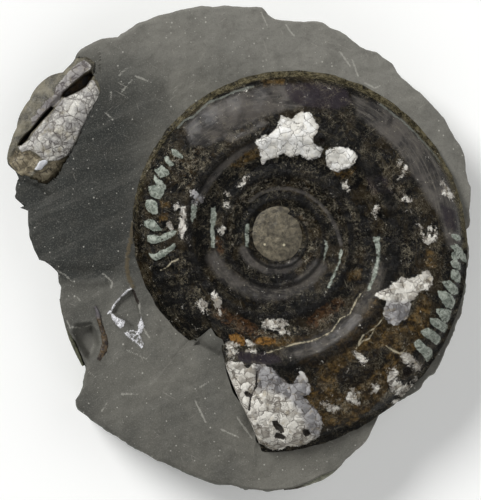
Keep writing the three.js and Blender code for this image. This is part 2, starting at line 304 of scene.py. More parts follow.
def new_group(name, inputs, outputs):
    """A node group: inputs are numbers with their usual values, or places where that is None."""
    group = bpy.data.node_groups.new(name, "ShaderNodeTree")
    for socket, value in inputs.items():
        kind = "NodeSocketVector" if value is None else "NodeSocketFloat"
        made = group.interface.new_socket(name=socket, in_out="INPUT", socket_type=kind)
        if value is not None:
            made.default_value = value
    for socket in outputs:
        kind = "NodeSocketColor" if socket == "Color" else "NodeSocketFloat"
        group.interface.new_socket(name=socket, in_out="OUTPUT", socket_type=kind)
    given = group.nodes.new("NodeGroupInput").outputs
    return group, given, group.nodes.new("NodeGroupOutput").inputs


def use_group(tree, group, **values):
    """Places a group in a material, with its own values."""
    node = tree.nodes.new("ShaderNodeGroup")
    node.node_tree = group
    for name, value in values.items():
        put(tree, node.inputs[name.replace("_", " ")], value)
    return node.outputs


# shared effects

def make_crackle():
    """Plates with a net of cracks, as in dried calcite, and some of them broken up small."""
    group, given, out = new_group(
        "Crackled plates", {"Vector": None, "Plate size": 4.0, "Crack width": 0.1},
        ["Crack", "Plate tint", "Height"])
    bend = group.nodes.new("ShaderNodeTexNoise")
    bend.inputs["Scale"].default_value = 0.45
    group.links.new(given["Vector"], bend.inputs["Vector"])
    shift = group.nodes.new("ShaderNodeVectorMath")
    shift.operation = "MULTIPLY_ADD"
    group.links.new(bend.outputs["Color"], shift.inputs[0])
    shift.inputs[1].default_value = (1.6, 1.6, 1.6)
    group.links.new(given["Vector"], shift.inputs[2])
    cracks, tints, domes = [], [], []
    for share in (1.0, 0.42):
        scale = maths(group, "DIVIDE", 1.0, times(group, given["Plate size"], share))
        edge = group.nodes.new("ShaderNodeTexVoronoi")
        edge.feature = "DISTANCE_TO_EDGE"
        cell = group.nodes.new("ShaderNodeTexVoronoi")
        for node in (edge, cell):
            group.links.new(shift.outputs["Vector"], node.inputs["Vector"])
            group.links.new(scale, node.inputs["Scale"])
        width = times(group, given["Crack width"], scale)
        sharp = times(group, width, 0.3)
        cracks.append(span(group, edge.outputs["Distance"], sharp, width, 1.0, 0.0))
        domes.append(span(group, edge.outputs["Distance"], 0.0, 0.35))
        parts = group.nodes.new("ShaderNodeSeparateColor")
        group.links.new(cell.outputs["Color"], parts.inputs[0])
        tints.append(parts.outputs[0])
    small = span(group, cloudy(group, given["Vector"], 0.22, 2.0), 0.48, 0.62)
    fine = times(group, cracks[1], scaled(group, small, 0.75, 0.1))
    uneven = span(group, cloudy(group, given["Vector"], 0.5, 3.0), 0.38, 0.58, 0.3, 1.0)
    crack = times(group, maths(group, "MAXIMUM", cracks[0], fine, clamp=True), uneven)
    group.links.new(crack, out["Crack"])
    group.links.new(scaled(group, tints[1], 0.5, times(group, tints[0], 0.5)),
                    out["Plate tint"])
    raised = scaled(group, domes[0], 0.7, times(group, tints[0], 0.3))
    group.links.new(maths(group, "SUBTRACT", raised, crack), out["Height"])
    return group


def make_speckle():
    """Small bright grains, sparse and of uneven size."""
    group, given, out = new_group(
        "Sparse grains", {"Vector": None, "Spacing": 3.0, "Grain size": 0.3}, ["Grains"])
    cell = group.nodes.new("ShaderNodeTexVoronoi")
    group.links.new(given["Vector"], cell.inputs["Vector"])
    scale = maths(group, "DIVIDE", 1.0, given["Spacing"])
    group.links.new(scale, cell.inputs["Scale"])
    parts = group.nodes.new("ShaderNodeSeparateColor")
    group.links.new(cell.outputs["Color"], parts.inputs[0])
    size = times(group, times(group, given["Grain size"], scale), parts.outputs[0])
    spot = span(group, cell.outputs["Distance"], times(group, size, 0.6), size, 1.0, 0.0)
    group.links.new(times(group, spot, span(group, parts.outputs[1], 0.55, 0.6)), out["Grains"])
    return group


def make_scratches():
    """Fine broken scratches that run three ways."""
    group, given, out = new_group(
        "Fine scratches", {"Vector": None, "Amount": 0.5}, ["Scratches"])
    thin = []
    for turn, pitch in ((28, 1.3), (-37, 1.7), (71, 1.5)):
        drawn_out = stretched(group, given["Vector"], (0.11, pitch, 0.3), turn, turn)
        lines = span(group, cloudy(group, drawn_out, 1.0, 2.0, 0.5), 0.69, 0.73)
        patchy = stretched(group, given["Vector"], (0.1, 0.16, 0.1), turn, pitch)
        broken = span(group, cloudy(group, patchy, 1.0, 2.0), 0.54, 0.62)
        thin.append(times(group, lines, broken))
    total = maths(group, "MAXIMUM", maths(group, "MAXIMUM", thin[0], thin[1]), thin[2])
    group.links.new(times(group, total, given["Amount"], clamp=True), out["Scratches"])
    return group


def make_flecks():
    """Ragged little flakes and hair-fine curls, as on shell that has lost its outer layer."""
    group, given, out = new_group(
        "Flakes and hairs", {"Vector": None, "Amount": 0.5}, ["Flakes", "Hairs", "Tone"])
    ragged = cloudy(group, given["Vector"], 1.1, 9, 0.85, 1.2)
    limit = scaled(group, given["Amount"], -0.17, 0.66)
    group.links.new(span(group, ragged, limit, plus(group, limit, 0.05)), out["Flakes"])
    curls = []
    for scale, shift in ((0.3, 0), (0.55, 7), (0.22, 19)):
        places = stretched(group, given["Vector"], (1, 1, 1), shift, shift)
        field = cloudy(group, places, scale, 4, 0.55, 1.6)
        near = maths(group, "ABSOLUTE", maths(group, "SUBTRACT", field, 0.5))
        curls.append(span(group, near, 0.002, 0.013, 1.0, 0.0))
    patch = span(group, cloudy(group, given["Vector"], 0.25, 7, 0.75), 0.47, 0.56)
    hairs = maths(group, "MAXIMUM", maths(group, "MAXIMUM", curls[0], curls[1]), curls[2])
    group.links.new(times(group, hairs, patch), out["Hairs"])
    group.links.new(cloudy(group, given["Vector"], 0.5, 6, 0.75, 0.5), out["Tone"])
    return group


def make_coil_streaks():
    """Streaks along the shell's coil: noise that changes fast outwards and slowly round it."""
    group, given, out = new_group(
        "Streaks round the coil",
        {"Vector": None, "Scale": 1.0, "Detail": 6.0, "Roughness": 0.7, "Distortion": 0.5},
        ["Streaks"])
    centred = group.nodes.new("ShaderNodeMapping")
    group.links.new(given["Vector"], centred.inputs["Vector"])
    centred.inputs["Location"].default_value = (-COIL_CENTRE[0], -COIL_CENTRE[1], 0)
    centred.inputs["Scale"].default_value = (1, 1, 0)
    out_from, way = (group.nodes.new("ShaderNodeVectorMath") for _ in range(2))
    out_from.operation, way.operation = "LENGTH", "NORMALIZE"
    for node in (out_from, way):
        group.links.new(centred.outputs["Vector"], node.inputs[0])
    apart = group.nodes.new("ShaderNodeSeparateXYZ")
    joined = group.nodes.new("ShaderNodeCombineXYZ")
    group.links.new(way.outputs["Vector"], apart.inputs[0])
    group.links.new(out_from.outputs["Value"], joined.inputs["X"])
    for axis, other in ("XY", "YZ"):
        group.links.new(times(group, apart.outputs[axis], 6.0), joined.inputs[other])
    streaks = cloudy(group, joined.outputs["Vector"], given["Scale"], given["Detail"],
                     given["Roughness"], given["Distortion"])
    group.links.new(streaks, out["Streaks"])
    return group


def make_ragged_edges():
    """A sway from -Reach to Reach, which breaks up the edge of a painted zone."""
    group, given, out = new_group(
        "Ragged edges",
        {"Vector": None, "Scale": 0.6, "Detail": 6.0, "Roughness": 0.8, "Distortion": 0.0,
         "Reach": 1.2}, ["Sway"])
    field = cloudy(group, given["Vector"], given["Scale"], given["Detail"], given["Roughness"],
                   given["Distortion"])
    sway = times(group, scaled(group, field, 2.0, -1.0), given["Reach"])
    group.links.new(sway, out["Sway"])
    return group


def make_rock_sides():
    """The rock that hides the sides of an embedded shell: how much of it, and its colour."""
    group, given, out = new_group(
        "Rock on the sides", {"Side": 0.0, "Sway": 0.0, "Tone": 0.5}, ["Amount", "Color"])
    amount = span(group, plus(group, given["Side"], given["Sway"]), 0.3, 0.7)
    group.links.new(amount, out["Amount"])
    rock = mixed(group, given["Tone"], colour(80, 84, 75), colour(96, 101, 91))
    group.links.new(rock, out["Color"])
    return group


CRACKLE = make_crackle()
SPECKLE = make_speckle()
SCRATCHES = make_scratches()
FLECKS = make_flecks()
COIL_STREAKS = make_coil_streaks()
RAGGED_EDGES = make_ragged_edges()
ROCK_SIDES = make_rock_sides()


# limestone

SECOND_FOOT = 16.3  # how far down the second ammonite reaches

BLOCK_OUTLINE = [
    (4.5, 160), (7, 150), (10, 143), (14, 130), (18, 118), (22, 106), (27, 100), (31, 93), (35, 86),
    (42, 79), (48, 74.5), (56, 73.5), (62, 71.5), (68, 65), (73, 60), (76, 53), (80, 48), (90, 43),
    (101, 38), (118, 36.5), (119.5, 33.5), (126, 30.5), (131, 27), (138, 22), (145, 20),
    (158, 14.5), (170, 12), (180, 8.5), (190, 7), (200, 4.5), (212, 6), (222, 4.5), (235, 5.5),
    (250, 6), (256, 5.5), (262, 6.5), (265, 9), (268, 13.5), (275, 18), (285, 19.5), (303, 21),
    (311, 20), (318, 20), (323, 21.5), (331, 27), (340, 30), (347, 34), (353, 40), (360, 45),
    (366, 48.5), (377, 51), (383, 56), (393, 63), (398, 71), (402, 77), (407, 80), (413, 86),
    (420, 91), (433, 104), (446, 119), (450, 127), (456, 137), (464, 149), (466.5, 156),
    (467.5, 170), (470, 180), (473.5, 186), (474, 200), (473.5, 210), (475, 220), (474, 226),
    (470.5, 230), (471, 234), (474.5, 250), (474, 260), (471.5, 275), (469.5, 290), (469, 300),
    (466, 315), (460, 328), (457, 338), (450, 353), (442, 371), (438, 377), (432, 380), (428, 385),
    (425, 392), (419, 396), (410, 401), (397, 407), (390, 413), (381, 420), (374, 430), (366, 443),
    (356, 453), (346, 463), (341, 470), (335, 475), (323, 480), (310, 488), (292, 494),
    (267, 496.5), (250, 495), (230, 491), (210, 488), (195, 482), (180, 476), (160, 467),
    (155, 466), (140, 457), (120, 445), (100, 432), (83, 420), (74, 412), (71.5, 407), (71.5, 403),
    (75, 398), (79.5, 388), (79, 384), (81.5, 371), (78, 362), (72, 348), (66, 333), (63, 322),
    (61, 312), (58.5, 300), (60, 287), (57, 283), (57, 273), (50, 266), (43, 261), (38, 260),
    (33, 250), (29, 238), (27, 225), (26.5, 217), (27, 210), (24, 207), (15, 206.5), (13, 197),
    (15, 192), (14, 190), (16, 180), (16, 177), (13, 170), (6, 165),
]
SECOND_AMMONITE_OUTLINE = [
    (6.5, 160), (10.6, 142), (16, 128), (22, 109), (29, 99), (32, 92), (43, 79.5), (49.5, 75),
    (63, 71.5), (72.5, 62), (76, 56), (87, 56), (95, 62), (93, 71), (98, 80), (101, 90), (98, 101),
    (92, 112), (84, 130), (74, 152), (65, 166), (60, 176), (51, 184), (44, 187), (32, 180),
    (19, 175), (12, 168),
]
HOLLOW_OUTLINE = [
    (76, 324), (92, 322), (97, 331), (100, 345), (95, 357), (90, 360.5), (86, 359), (79, 349),
    (72, 333),
]
CHIP_OUTLINE = [
    (133, 290), (137, 303), (141, 319), (139, 326), (134, 328), (125, 321), (112, 313), (116, 304),
    (122, 297),
]
LOW_CORNER = [(10, 176), (30, 181), (43, 187), (51, 196), (46, 203), (38, 207), (22, 210), (8, 208)]
TAN_VEIN = [(134, 222), (131, 238), (128, 250), (127, 262), (127, 272), (130, 280), (133, 287)]
CHIP_CRACK = [(133, 290), (136, 298), (138, 303)]
WHITE_VEIN = [(133, 287), (127, 291), (120, 298), (115, 304), (111, 311), (108, 313)]
WHITE_PLATES = [
    [(110, 312), (118, 318), (125, 320), (125, 324), (121, 329), (116, 325), (112, 319)],
    [(141, 317), (144.5, 326), (141, 334), (138, 333), (138, 325)],
    [(124, 333), (132, 329.5), (139, 332), (144.5, 345), (142, 348), (136, 343), (128, 337.5)],
]
SHADED_STEP = [(60, 271), (80, 273), (105, 270)]
STEP_LINE = [(52, 266), (62, 272), (68, 276), (77, 282), (90, 283), (104, 281)]
# Pale scratches and specks.
ROCK_MARKS = [
    [(103, 274), (108, 278), (112, 282), (111, 288)],
    [(77, 297), (80, 301)],
    [(119, 76), (127, 68)],
    [(135, 76), (148, 81)],
    [(121, 93), (127, 86), (132, 80)],
    [(105, 112), (112, 119)],
    [(111, 92), (111, 99)],
    [(261, 12), (267, 25)],
    [(286, 25), (290, 31), (294, 36)],
    [(365, 83), (374, 88), (380, 86)],
    [(221, 429), (239, 437)],
    [(200, 387), (213, 379)],
    [(237, 417), (252, 438)],
    [(122, 394), (138, 394)],
    [(193, 75), (193.5, 75)],
    [(216, 81), (216.5, 81)],
    [(266, 60), (266.5, 60)],
    [(102, 411), (107, 403)],
    [(133, 428), (133.5, 428)],
    [(195, 400), (206, 423)],
    [(72, 327), (80, 328), (92, 325)],
    [(67, 321), (70, 328)],
    [(127, 350), (147, 359)],
    [(139, 303), (140, 313)],
    [(57, 270), (65, 275), (73, 282)],
    [(141, 325), (150, 338)],
    [(88, 372), (96, 377)],
    [(352, 60), (358, 76)],
    [(340, 52), (350, 66)],
]
# The beds of the thin shells at the block's side.
EDGE_SHELL_LINE = [(57.5, 295), (60, 305), (62.5, 318), (69, 341), (76, 357), (81.5, 371)]
RIM_SHELL_LINE = [(283, 491), (300, 484), (322, 475), (335, 468), (345, 461)]

ROCK_COLUMNS = 760
ROCK_RINGS = 86
UNDER_RINGS = [0.15, 0.5, 0.8, 0.93, 0.985, 0.998]  # under the shell, as shares of its edge
SIDE_RINGS = 26
BOTTOM_RINGS = [0.8, 0.4, 0.1]  # on the flat face below, as shares of the block's edge

# The shell's section: distance from the coil's centre and height over the middle plane, as shares
# of the keel's radius, from the keel over the flank and the umbilical shoulder to the seam.
FLANK = [
    (1.0, 0.0), (0.9965, 0.006), (0.988, 0.01), (0.979, 0.018), (0.971, 0.034), (0.955, 0.066),
    (0.925, 0.095), (0.88, 0.118), (0.83, 0.136), (0.77, 0.1455), (0.715, 0.1465), (0.665, 0.155),
    (0.63, 0.163), (0.603, 0.1635), (0.58, 0.154), (0.55, 0.134), (0.5, 0.108), (0.46, 0.093),
    (0.44, 0.086), (0.432, 0.05),
]

# The broken mouth of the shell: angle round the coil and radius on the drawing grid.
MOUTH_EDGE = [
    (-94.3, 209), (-96.8, 206), (-97.6, 186), (-99.9, 178), (-103.7, 169), (-107.0, 161),
    (-109.4, 152), (-112.3, 142.5), (-115.1, 131), (-117.0, 121), (-119.5, 116.5), (-123.1, 117),
    (-127.4, 113), (-128.8, 128), (-131, 137.4),
]
MOUTH_START = MOUTH_EDGE[0][0]  # below it the mouth bounds the shell, above it the keel does


def coil_polar(x, y):
    """Angle in degrees, from the seam's up, and distance from the coil's centre in millimetres."""
    dx, dy = x - COIL_CENTRE[0], y - COIL_CENTRE[1]
    angle = (np.degrees(np.arctan2(dy, dx)) - SEAM_ANGLE) % 360 + SEAM_ANGLE
    return angle, np.hypot(dx, dy)


def coil_places(angle, radius):
    """The opposite: where an angle and a distance from the coil's centre lie."""
    turn = np.radians(angle)
    return COIL_CENTRE[0] + radius * np.cos(turn), COIL_CENTRE[1] + radius * np.sin(turn)


def shell_rim(angle):
    """Distance from the coil's centre at which the rock begins."""
    ends, radii = zip(*reversed(MOUTH_EDGE))
    broken = np.interp(angle, ends, np.array(radii) * GRID)
    return np.where(angle < MOUTH_START, broken, keel_radius(angle))


def rock_height(x, y):
    """The rock's upper face, its large forms first."""
    angle, radius = coil_polar(x, y)
    beyond = np.maximum(0, radius - shell_rim(angle))
    dip = 1.4 * np.exp(-((beyond / 14) ** 2)) * smoothstep(angle, -96, -88)
    foot = 2.2 * smoothstep(-y, 62, 88)
    right = 3 * smoothstep(x, 62, 84)
    step = 1.1 * smoothstep(-y, 4, 8) * smoothstep(-x, 40, 46)
    height = ROCK_TOP - dip - foot - right - step + 0.5 * np.sin(x / 21 + 1) * np.cos(y / 26)
    # the rock that covers the inner whorl beside the mouth, and fills up to the mouth's edge
    inner = keel_radius(angle + 360)
    flank = np.interp(radius / inner, *zip(*reversed(FLANK))) * inner
    covered = (angle < -94) & (radius < inner * 1.02)
    height = np.where(covered, np.maximum(height, KEEL_HEIGHT + flank + 0.35), height)
    fill = 6.0 * np.exp(-beyond / 7) * smoothstep(-angle, 95, 103)
    fill = fill * smoothstep(angle, SEAM_ANGLE, SEAM_ANGLE + 13)
    height = height + fill
    height -= 5.0 * smoothstep(inside(x, y, HOLLOW_OUTLINE), -0.4, 2.4)
    height -= 1.6 * smoothstep(inside(x, y, CHIP_OUTLINE), -0.3, 0.8)
    height -= 1.8 * smoothstep(inside(x, y, LOW_CORNER), -0.6, 1.2)
    height += 0.55 * strokes(x, y, [STEP_LINE], 2.0)
    height += 0.35 * smoothstep(patches(x, y, WHITE_PLATES), -0.3, 0.4)
    height += 0.2 * strokes(x, y, [WHITE_VEIN], 1.0) + 0.15 * strokes(x, y, [TAN_VEIN], 1.4)
    # low rock beside the second ammonite's upper end, and room for it under its outline
    under_second = inside(x, y, SECOND_AMMONITE_OUTLINE)
    upper_end = (x < -49) & (y > 62) & (under_second > -8)
    lowered = 23.9 + 0.3 * np.maximum(0, -under_second)
    height = np.where(upper_end, np.minimum(height, lowered), height)
    at_edge = line_distance(x, y, BLOCK_OUTLINE, closed=True) < 2.6
    buried = (under_second > 0.8) | (at_edge & (under_second > -1.4) & (x < -60))
    return np.where(buried, np.minimum(height, SECOND_FOOT - 0.3), height)


def limestone_places(column, ring):
    """Where the block's vertices lie: under the shell, over the top, down the side and below."""
    outline = from_grid(BLOCK_OUTLINE)
    angles, radii = coil_polar(*outline.T)
    order = np.argsort(angles)
    angle = SEAM_ANGLE + 360 * column / ROCK_COLUMNS
    reach = np.interp(angle, angles[order], radii[order], period=360)
    across, along = coil_places(angle, reach)
    reach = reach - 0.175 * (1 + grain(across, along, 3.2, 7.0))
    rim = np.minimum(shell_rim(angle), reach - 1.2)

    # where the side slopes outwards, so that it shows from above: at the foot and on the right
    turn = -np.degrees(np.arctan2(along, across))
    foot = smoothstep(turn, 55, 75) * (1 - smoothstep(turn, 150, 158))
    right = smoothstep(turn, -22, 0) * (1 - smoothstep(turn, 48, 56))
    shown = np.maximum(foot, right)

    top_rings = len(UNDER_RINGS) + ROCK_RINGS
    radius = np.zeros(column.shape)
    height = np.zeros(column.shape)

    under = ring < len(UNDER_RINGS)
    share = np.array(UNDER_RINGS)[np.minimum(ring, len(UNDER_RINGS) - 1)]
    radius[under] = (share * rim)[under]

    top = ~under & (ring < top_rings)
    out = (ring - len(UNDER_RINGS)) / (ROCK_RINGS - 1)
    edge = reach - 1.6 * shown - 0.25
    radius[top] = (rim + 0.12 + (edge - rim - 0.12) * out)[top]

    sides = ring >= top_rings
    down = np.clip((ring - top_rings + 1) / SIDE_RINGS, 0, 1)
    level = rock_height(*coil_places(angle, edge)) * (1 - down)
    inset_shown = np.interp(level, [0, 3, 9, 15, 22, 26], [4, 1.6, 0.1, 0.5, 1.5, 1.9])
    inset_hidden = np.interp(level, [0, 3, 9, 15, 22, 26], [6.5, 4, 1.9, 0.8, 0.25, 0.2])
    inset = shown * inset_shown + (1 - shown) * inset_hidden
    wander = np.array([noise.fractal((a / 5, b / 5, c / 3.2), 1.0, 2.0, 4)
                       for a, b, c in zip(across.tolist(), along.tolist(), level.tolist())])
    ledges = np.array([noise.noise((a / 9, b / 9, c / 4)) for a, b, c in zip(across, along, level)])
    broken = 0.8 - 0.55 * wander + 0.6 * smoothstep(ledges, -0.1, 0.15)
    inset = inset + broken * smoothstep(down, 0, 0.12) * smoothstep(level, -0.5, 2)
    # set back for the thin shells that lie in the side
    edge_line = line_distance(across, along, EDGE_SHELL_LINE)
    rim_line = line_distance(across, along, RIM_SHELL_LINE)
    strip = np.maximum((edge_line < 1.4) & (level > 10.6), (rim_line < 1.4) & (level > 11.6))
    inset = np.where(strip, np.maximum(inset, 1.3), inset)
    bottom = ring >= top_rings + SIDE_RINGS
    radius[sides] = (reach - inset)[sides]
    height[sides] = level[sides]
    below = np.clip(ring - top_rings - SIDE_RINGS, 0, len(BOTTOM_RINGS) - 1)
    inward = np.array(BOTTOM_RINGS)[below]
    radius[bottom] = (reach * inward)[bottom]
    height[bottom] = 0

    x, y = coil_places(angle, radius)
    flat = under | top
    height[flat] = rock_height(x[flat], y[flat])
    rough = 0.3 * grain(x, y, 7, 3.0) + 0.1 * grain(x, y, 1.8, 5.0)
    calm = 1 - 0.75 * smoothstep(patches(x, y, [HOLLOW_OUTLINE, CHIP_OUTLINE]), -1, 0.5)
    height[top] += (rough * calm)[top]
    lip = smoothstep(out, 0.97, 1.0)
    height[top] -= (0.5 * lip * (1 + grain(x, y, 2.5, 11.0)))[top]
    bed = KEEL_HEIGHT - 13.4 * smoothstep(1 - share, 0.0, 0.35)
    height[under] = np.minimum(height, bed)[under]
    return x, y, height


def make_limestone_material():
    material, tree, shader = new_material("Grey limestone")
    at = object_millimetres(tree)
    tone = cloudy(tree, at, 0.035, 5, 0.6)
    patch = cloudy(tree, at, 0.16, 4, 0.6, 0.4)
    fine = cloudy(tree, at, 2.2, 3, 0.7)
    streaks = cloudy(tree, stretched(tree, at, (0.03, 0.3, 0.1), -24), 1.0, 5, 0.65, 0.4)
    base = mixed(tree, span(tree, tone, 0.38, 0.62), colour(84, 83, 77), colour(108, 106, 98))
    # Painted light: the mask pale lightens the top, the upper right and the hollow's floor, where
    # light falls.
    base = mixed(tree, mask(tree, "pale"), base, colour(134, 132, 124))
    base = mixed(tree, mask(tree, "shaded"), base, colour(38, 40, 37))
    base = laid(tree, base, span(tree, streaks, 0.45, 0.7), 0.13, colour(142, 140, 132))
    base = laid(tree, base, span(tree, patch, 0.42, 0.7), 0.3, colour(64, 62, 56))
    base = laid(tree, base, span(tree, fine, 0.46, 0.72), 0.26, colour(150, 148, 140))
    base = laid(tree, base, span(tree, fine, 0.46, 0.3), 0.28, colour(42, 42, 38))
    grains = use_group(tree, SPECKLE, Vector=at, Spacing=1.7, Grain_size=0.4)["Grains"]
    base = laid(tree, base, grains, 0.6, colour(190, 188, 178))
    dust = use_group(tree, SPECKLE, Vector=at, Spacing=0.8, Grain_size=0.2)["Grains"]
    base = laid(tree, base, dust, 0.5, colour(170, 168, 160))
    scratches = use_group(tree, SCRATCHES, Vector=at, Amount=0.24)["Scratches"]
    base = mixed(tree, scratches, base, colour(176, 172, 162))
    marks = scaled(tree, cloudy(tree, at, 0.7, 7, 0.8, 0.6), 1.1, mask(tree, "mark"))
    base = laid(tree, base, span(tree, marks, 1.3, 1.46), 0.42, colour(186, 184, 174))
    base = mixed(tree, mask(tree, "side"), base, colour(92, 97, 87))

    sway = use_group(tree, RAGGED_EDGES, Vector=at, Scale=0.9, Roughness=0.75)["Sway"]
    white = span(tree, plus(tree, mask(tree, "white"), sway), 0.45, 0.75)
    brushed = span(tree, cloudy(tree, at, 1.0, 6, 0.75, 1.2), 0.4, 0.58)
    calcite = mixed(tree, brushed, colour(128, 126, 128), colour(242, 242, 244))
    base = mixed(tree, white, base, calcite)
    tan = span(tree, plus(tree, mask(tree, "tan"), sway), 0.5, 0.9)
    base = mixed(tree, tan, base, mixed(tree, fine, colour(36, 30, 22), colour(112, 101, 78)))
    dark = span(tree, plus(tree, mask(tree, "crack"), sway), 0.45, 0.7)
    base = mixed(tree, dark, base, colour(34, 26, 20))
    put(tree, shader.inputs["Base Color"], base)
    put(tree, shader.inputs["Roughness"], span(tree, fine, 0.2, 0.8, 0.62, 0.85))
    shader.inputs["Specular IOR Level"].default_value = 0.35

    coarse = cloudy(tree, at, 0.5, 6, 0.65)
    height = plus(tree, times(tree, coarse, 0.7), times(tree, fine, 0.3))
    height = maths(tree, "SUBTRACT", height, times(tree, scratches, 0.2))
    bumped(tree, shader, height, 0.55, 0.0005)
    return material


def make_limestone():
    rings = len(UNDER_RINGS) + ROCK_RINGS + SIDE_RINGS + len(BOTTOM_RINGS)
    bm = drawn_tube(ROCK_COLUMNS, rings, limestone_places)
    material = make_limestone_material()
    piece = finish_piece(bm, "limestone_block_surface", "limestone_block", material)
    x, y, z = corner_places(piece)
    left = smoothstep(-x, 20, 46) * smoothstep(y, -18, -4) * (1 - smoothstep(y, 44, 82))
    low_left = strokes(x, y, [SHADED_STEP], 4)
    below = 0.3 * smoothstep(-x, 20, 46) * (1 - smoothstep(y, -20, -4))
    add_mask(piece, "shaded", np.clip(left + below + 0.5 * low_left, 0, 1))
    marks = np.max([1 - line_distance(x, y, line) / 1.6 for line in ROCK_MARKS], axis=0)
    add_mask(piece, "mark", np.clip(marks, 0, 1) * (z > UPPER_SIDE - 1))
    # Painted light: the top, the upper right and the hollow's floor are made paler to stand for
    # light falling there.
    trough = smoothstep(inside(x, y, HOLLOW_OUTLINE), 0.5, 3)
    pale = 0.55 * smoothstep(x + y, 50, 100) + 0.45 * smoothstep(y, 52, 72) + trough
    add_mask(piece, "pale", np.clip(pale, 0, 0.7))
    add_mask(piece, "side", smoothstep(rock_height(x, y) - z, 0.8, 1.8) * 0.8)
    white = smoothstep(patches(x, y, WHITE_PLATES[:2]), -0.5, 0.5)
    framed = smoothstep(inside(x, y, WHITE_PLATES[2]), -0.5, 0.5)
    framed = framed * np.maximum(0.5, strokes(x, y, [[*WHITE_PLATES[2], WHITE_PLATES[2][0]]], 1.6))
    vein = 0.9 * strokes(x, y, [WHITE_VEIN], 0.85)
    add_mask(piece, "white", np.max([white, framed, vein], axis=0) * (z > UPPER_SIDE))
    add_mask(piece, "tan", strokes(x, y, [TAN_VEIN], 1.9) * (z > UPPER_SIDE))
    add_mask(piece, "crack", strokes(x, y, [CHIP_CRACK], 1.0) * (z > UPPER_SIDE))


# ammonite

# Angles round the coil in degrees, which grow from the mouth inwards.
MOUTH_ANGLE = -108.0
MOUTH_SLANT = 36.0  # how far the broken mouth slants back over the flank
MOUTH_LEAD = 13.0  # how far its outer edge runs ahead
MOUTH_BREAK = 110.0  # how fast the umbilical wall trails behind the mouth
SLANT_SPAN = 70.0  # the slant fades out over this stretch
WHORL_END = 254.0  # the outer whorl runs on a little way under its own mouth
COIL_END = 1330.0
HIDDEN_COLUMNS = 12  # on the half of the shell that lies in the rock
HIDDEN_FLANK = [
    (0.432, 0.05), (0.47, -0.04), (0.56, -0.12), (0.6, -0.163), (0.78, -0.146), (0.93, -0.09),
    (0.985, -0.02), (1.0, 0.0),
]

# Ribs: angle round the coil at the outer end, start and end as shares of the keel's radius, half
# width in degrees.
RIBS = [
    (141.9, 0.83, 0.92, 1.7), (145.9, 0.84, 0.93, 1.8), (150.6, 0.83, 0.93, 2.1),
    (155.0, 0.83, 0.93, 2.0), (159.6, 0.82, 0.93, 2.2), (166.6, 0.82, 0.94, 2.9),
    (174.4, 0.8, 0.94, 2.7), (180.6, 0.71, 0.94, 2.2), (187.6, 0.7, 0.92, 2.0),
    (193.6, 0.7, 0.88, 1.4), (199.5, 0.72, 0.9, 1.6), (-0.2, 0.88, 0.955, 1.2),
    (-4.4, 0.87, 0.955, 1.3), (-8.5, 0.88, 0.96, 1.2), (-12.6, 0.88, 0.965, 1.5),
    (-16.5, 0.84, 0.965, 1.6), (-20.5, 0.83, 0.965, 1.8), (-25.2, 0.83, 0.965, 1.8),
    (-29.2, 0.82, 0.965, 1.6), (-33.2, 0.8, 0.965, 1.7), (-38.0, 0.8, 0.96, 2.2),
    (-43.5, 0.82, 0.95, 1.6),
]
RIB_LEAN = 4.0  # degrees by which a rib's inner end lies behind its outer end, away from the mouth

# Grey-green shell that is left on the crests of the ribs.
PEARLS = [
    [(172.5, 150), (176, 151), (182, 156), (183, 158.5), (179, 157.5), (174, 155)],
    [(165, 158), (168, 157), (170, 161), (174, 165), (171, 166), (167, 163)],
    [(155, 170), (160, 169), (162, 166), (165, 169), (168, 171), (169, 174), (166, 176),
     (161, 177.5), (158, 174)],
    [(155, 176), (158, 180), (162, 182), (165, 186), (166, 189), (162, 190), (158, 189), (157, 184),
     (155, 180)],
    [(149.5, 187), (155, 186), (160, 188), (164, 190), (163, 194), (160, 198.5), (156, 198),
     (152, 196), (150, 191)],
    [(147, 201), (152, 200), (156, 202), (157.5, 208), (158, 213.5), (153, 214), (149, 211),
     (146, 206)],
    [(145, 222), (149, 220), (154, 221), (158, 226), (161, 230), (155, 230.5), (149, 228),
     (146, 226)],
    [(148, 236), (154, 235.5), (160, 237), (166, 234), (173, 231), (176, 231.5), (174, 235),
     (166, 239.5), (158, 242.5), (152, 243), (148, 241)],
    [(150, 254), (155, 255), (160, 252), (166, 250), (171, 247), (174, 244), (176, 246), (172, 250),
     (167, 253.5), (162, 257.5), (157, 259.5), (153, 258.5)],
    [(451, 235), (457, 235), (460, 239), (456, 240), (452, 238)],
    [(450, 246), (456, 245), (461, 249), (465, 256), (466, 262), (462, 260), (458, 254),
     (453, 249)],
    [(451, 253), (456, 251), (459, 256), (456, 260), (452, 259)],
    [(450, 262), (455, 260), (459, 264), (459, 269), (453, 267)],
    [(452, 270), (457, 271), (460, 277), (459.5, 282), (455, 281), (450.5, 278), (450.5, 273)],
    [(442, 282), (449, 281), (455, 286), (458, 293.5), (453, 294), (448, 290), (444, 286)],
    [(437, 291), (445, 292), (451, 296), (454.5, 302), (452, 307.5), (446, 307), (442, 302),
     (439, 297)],
    [(436, 309), (444, 309), (450, 311), (448, 320), (444, 322), (440, 317), (436, 312)],
    [(429, 318), (437, 319), (443, 323), (447, 326), (444, 332), (439, 329), (434, 326),
     (430, 322)],
    [(420, 331), (426, 328), (432, 331), (438, 335), (440, 340), (436, 344), (430, 339),
     (423, 335)],
    [(413, 343), (418, 339), (424, 345), (431, 350), (432, 355), (427, 361), (423, 355),
     (417, 349)],
]
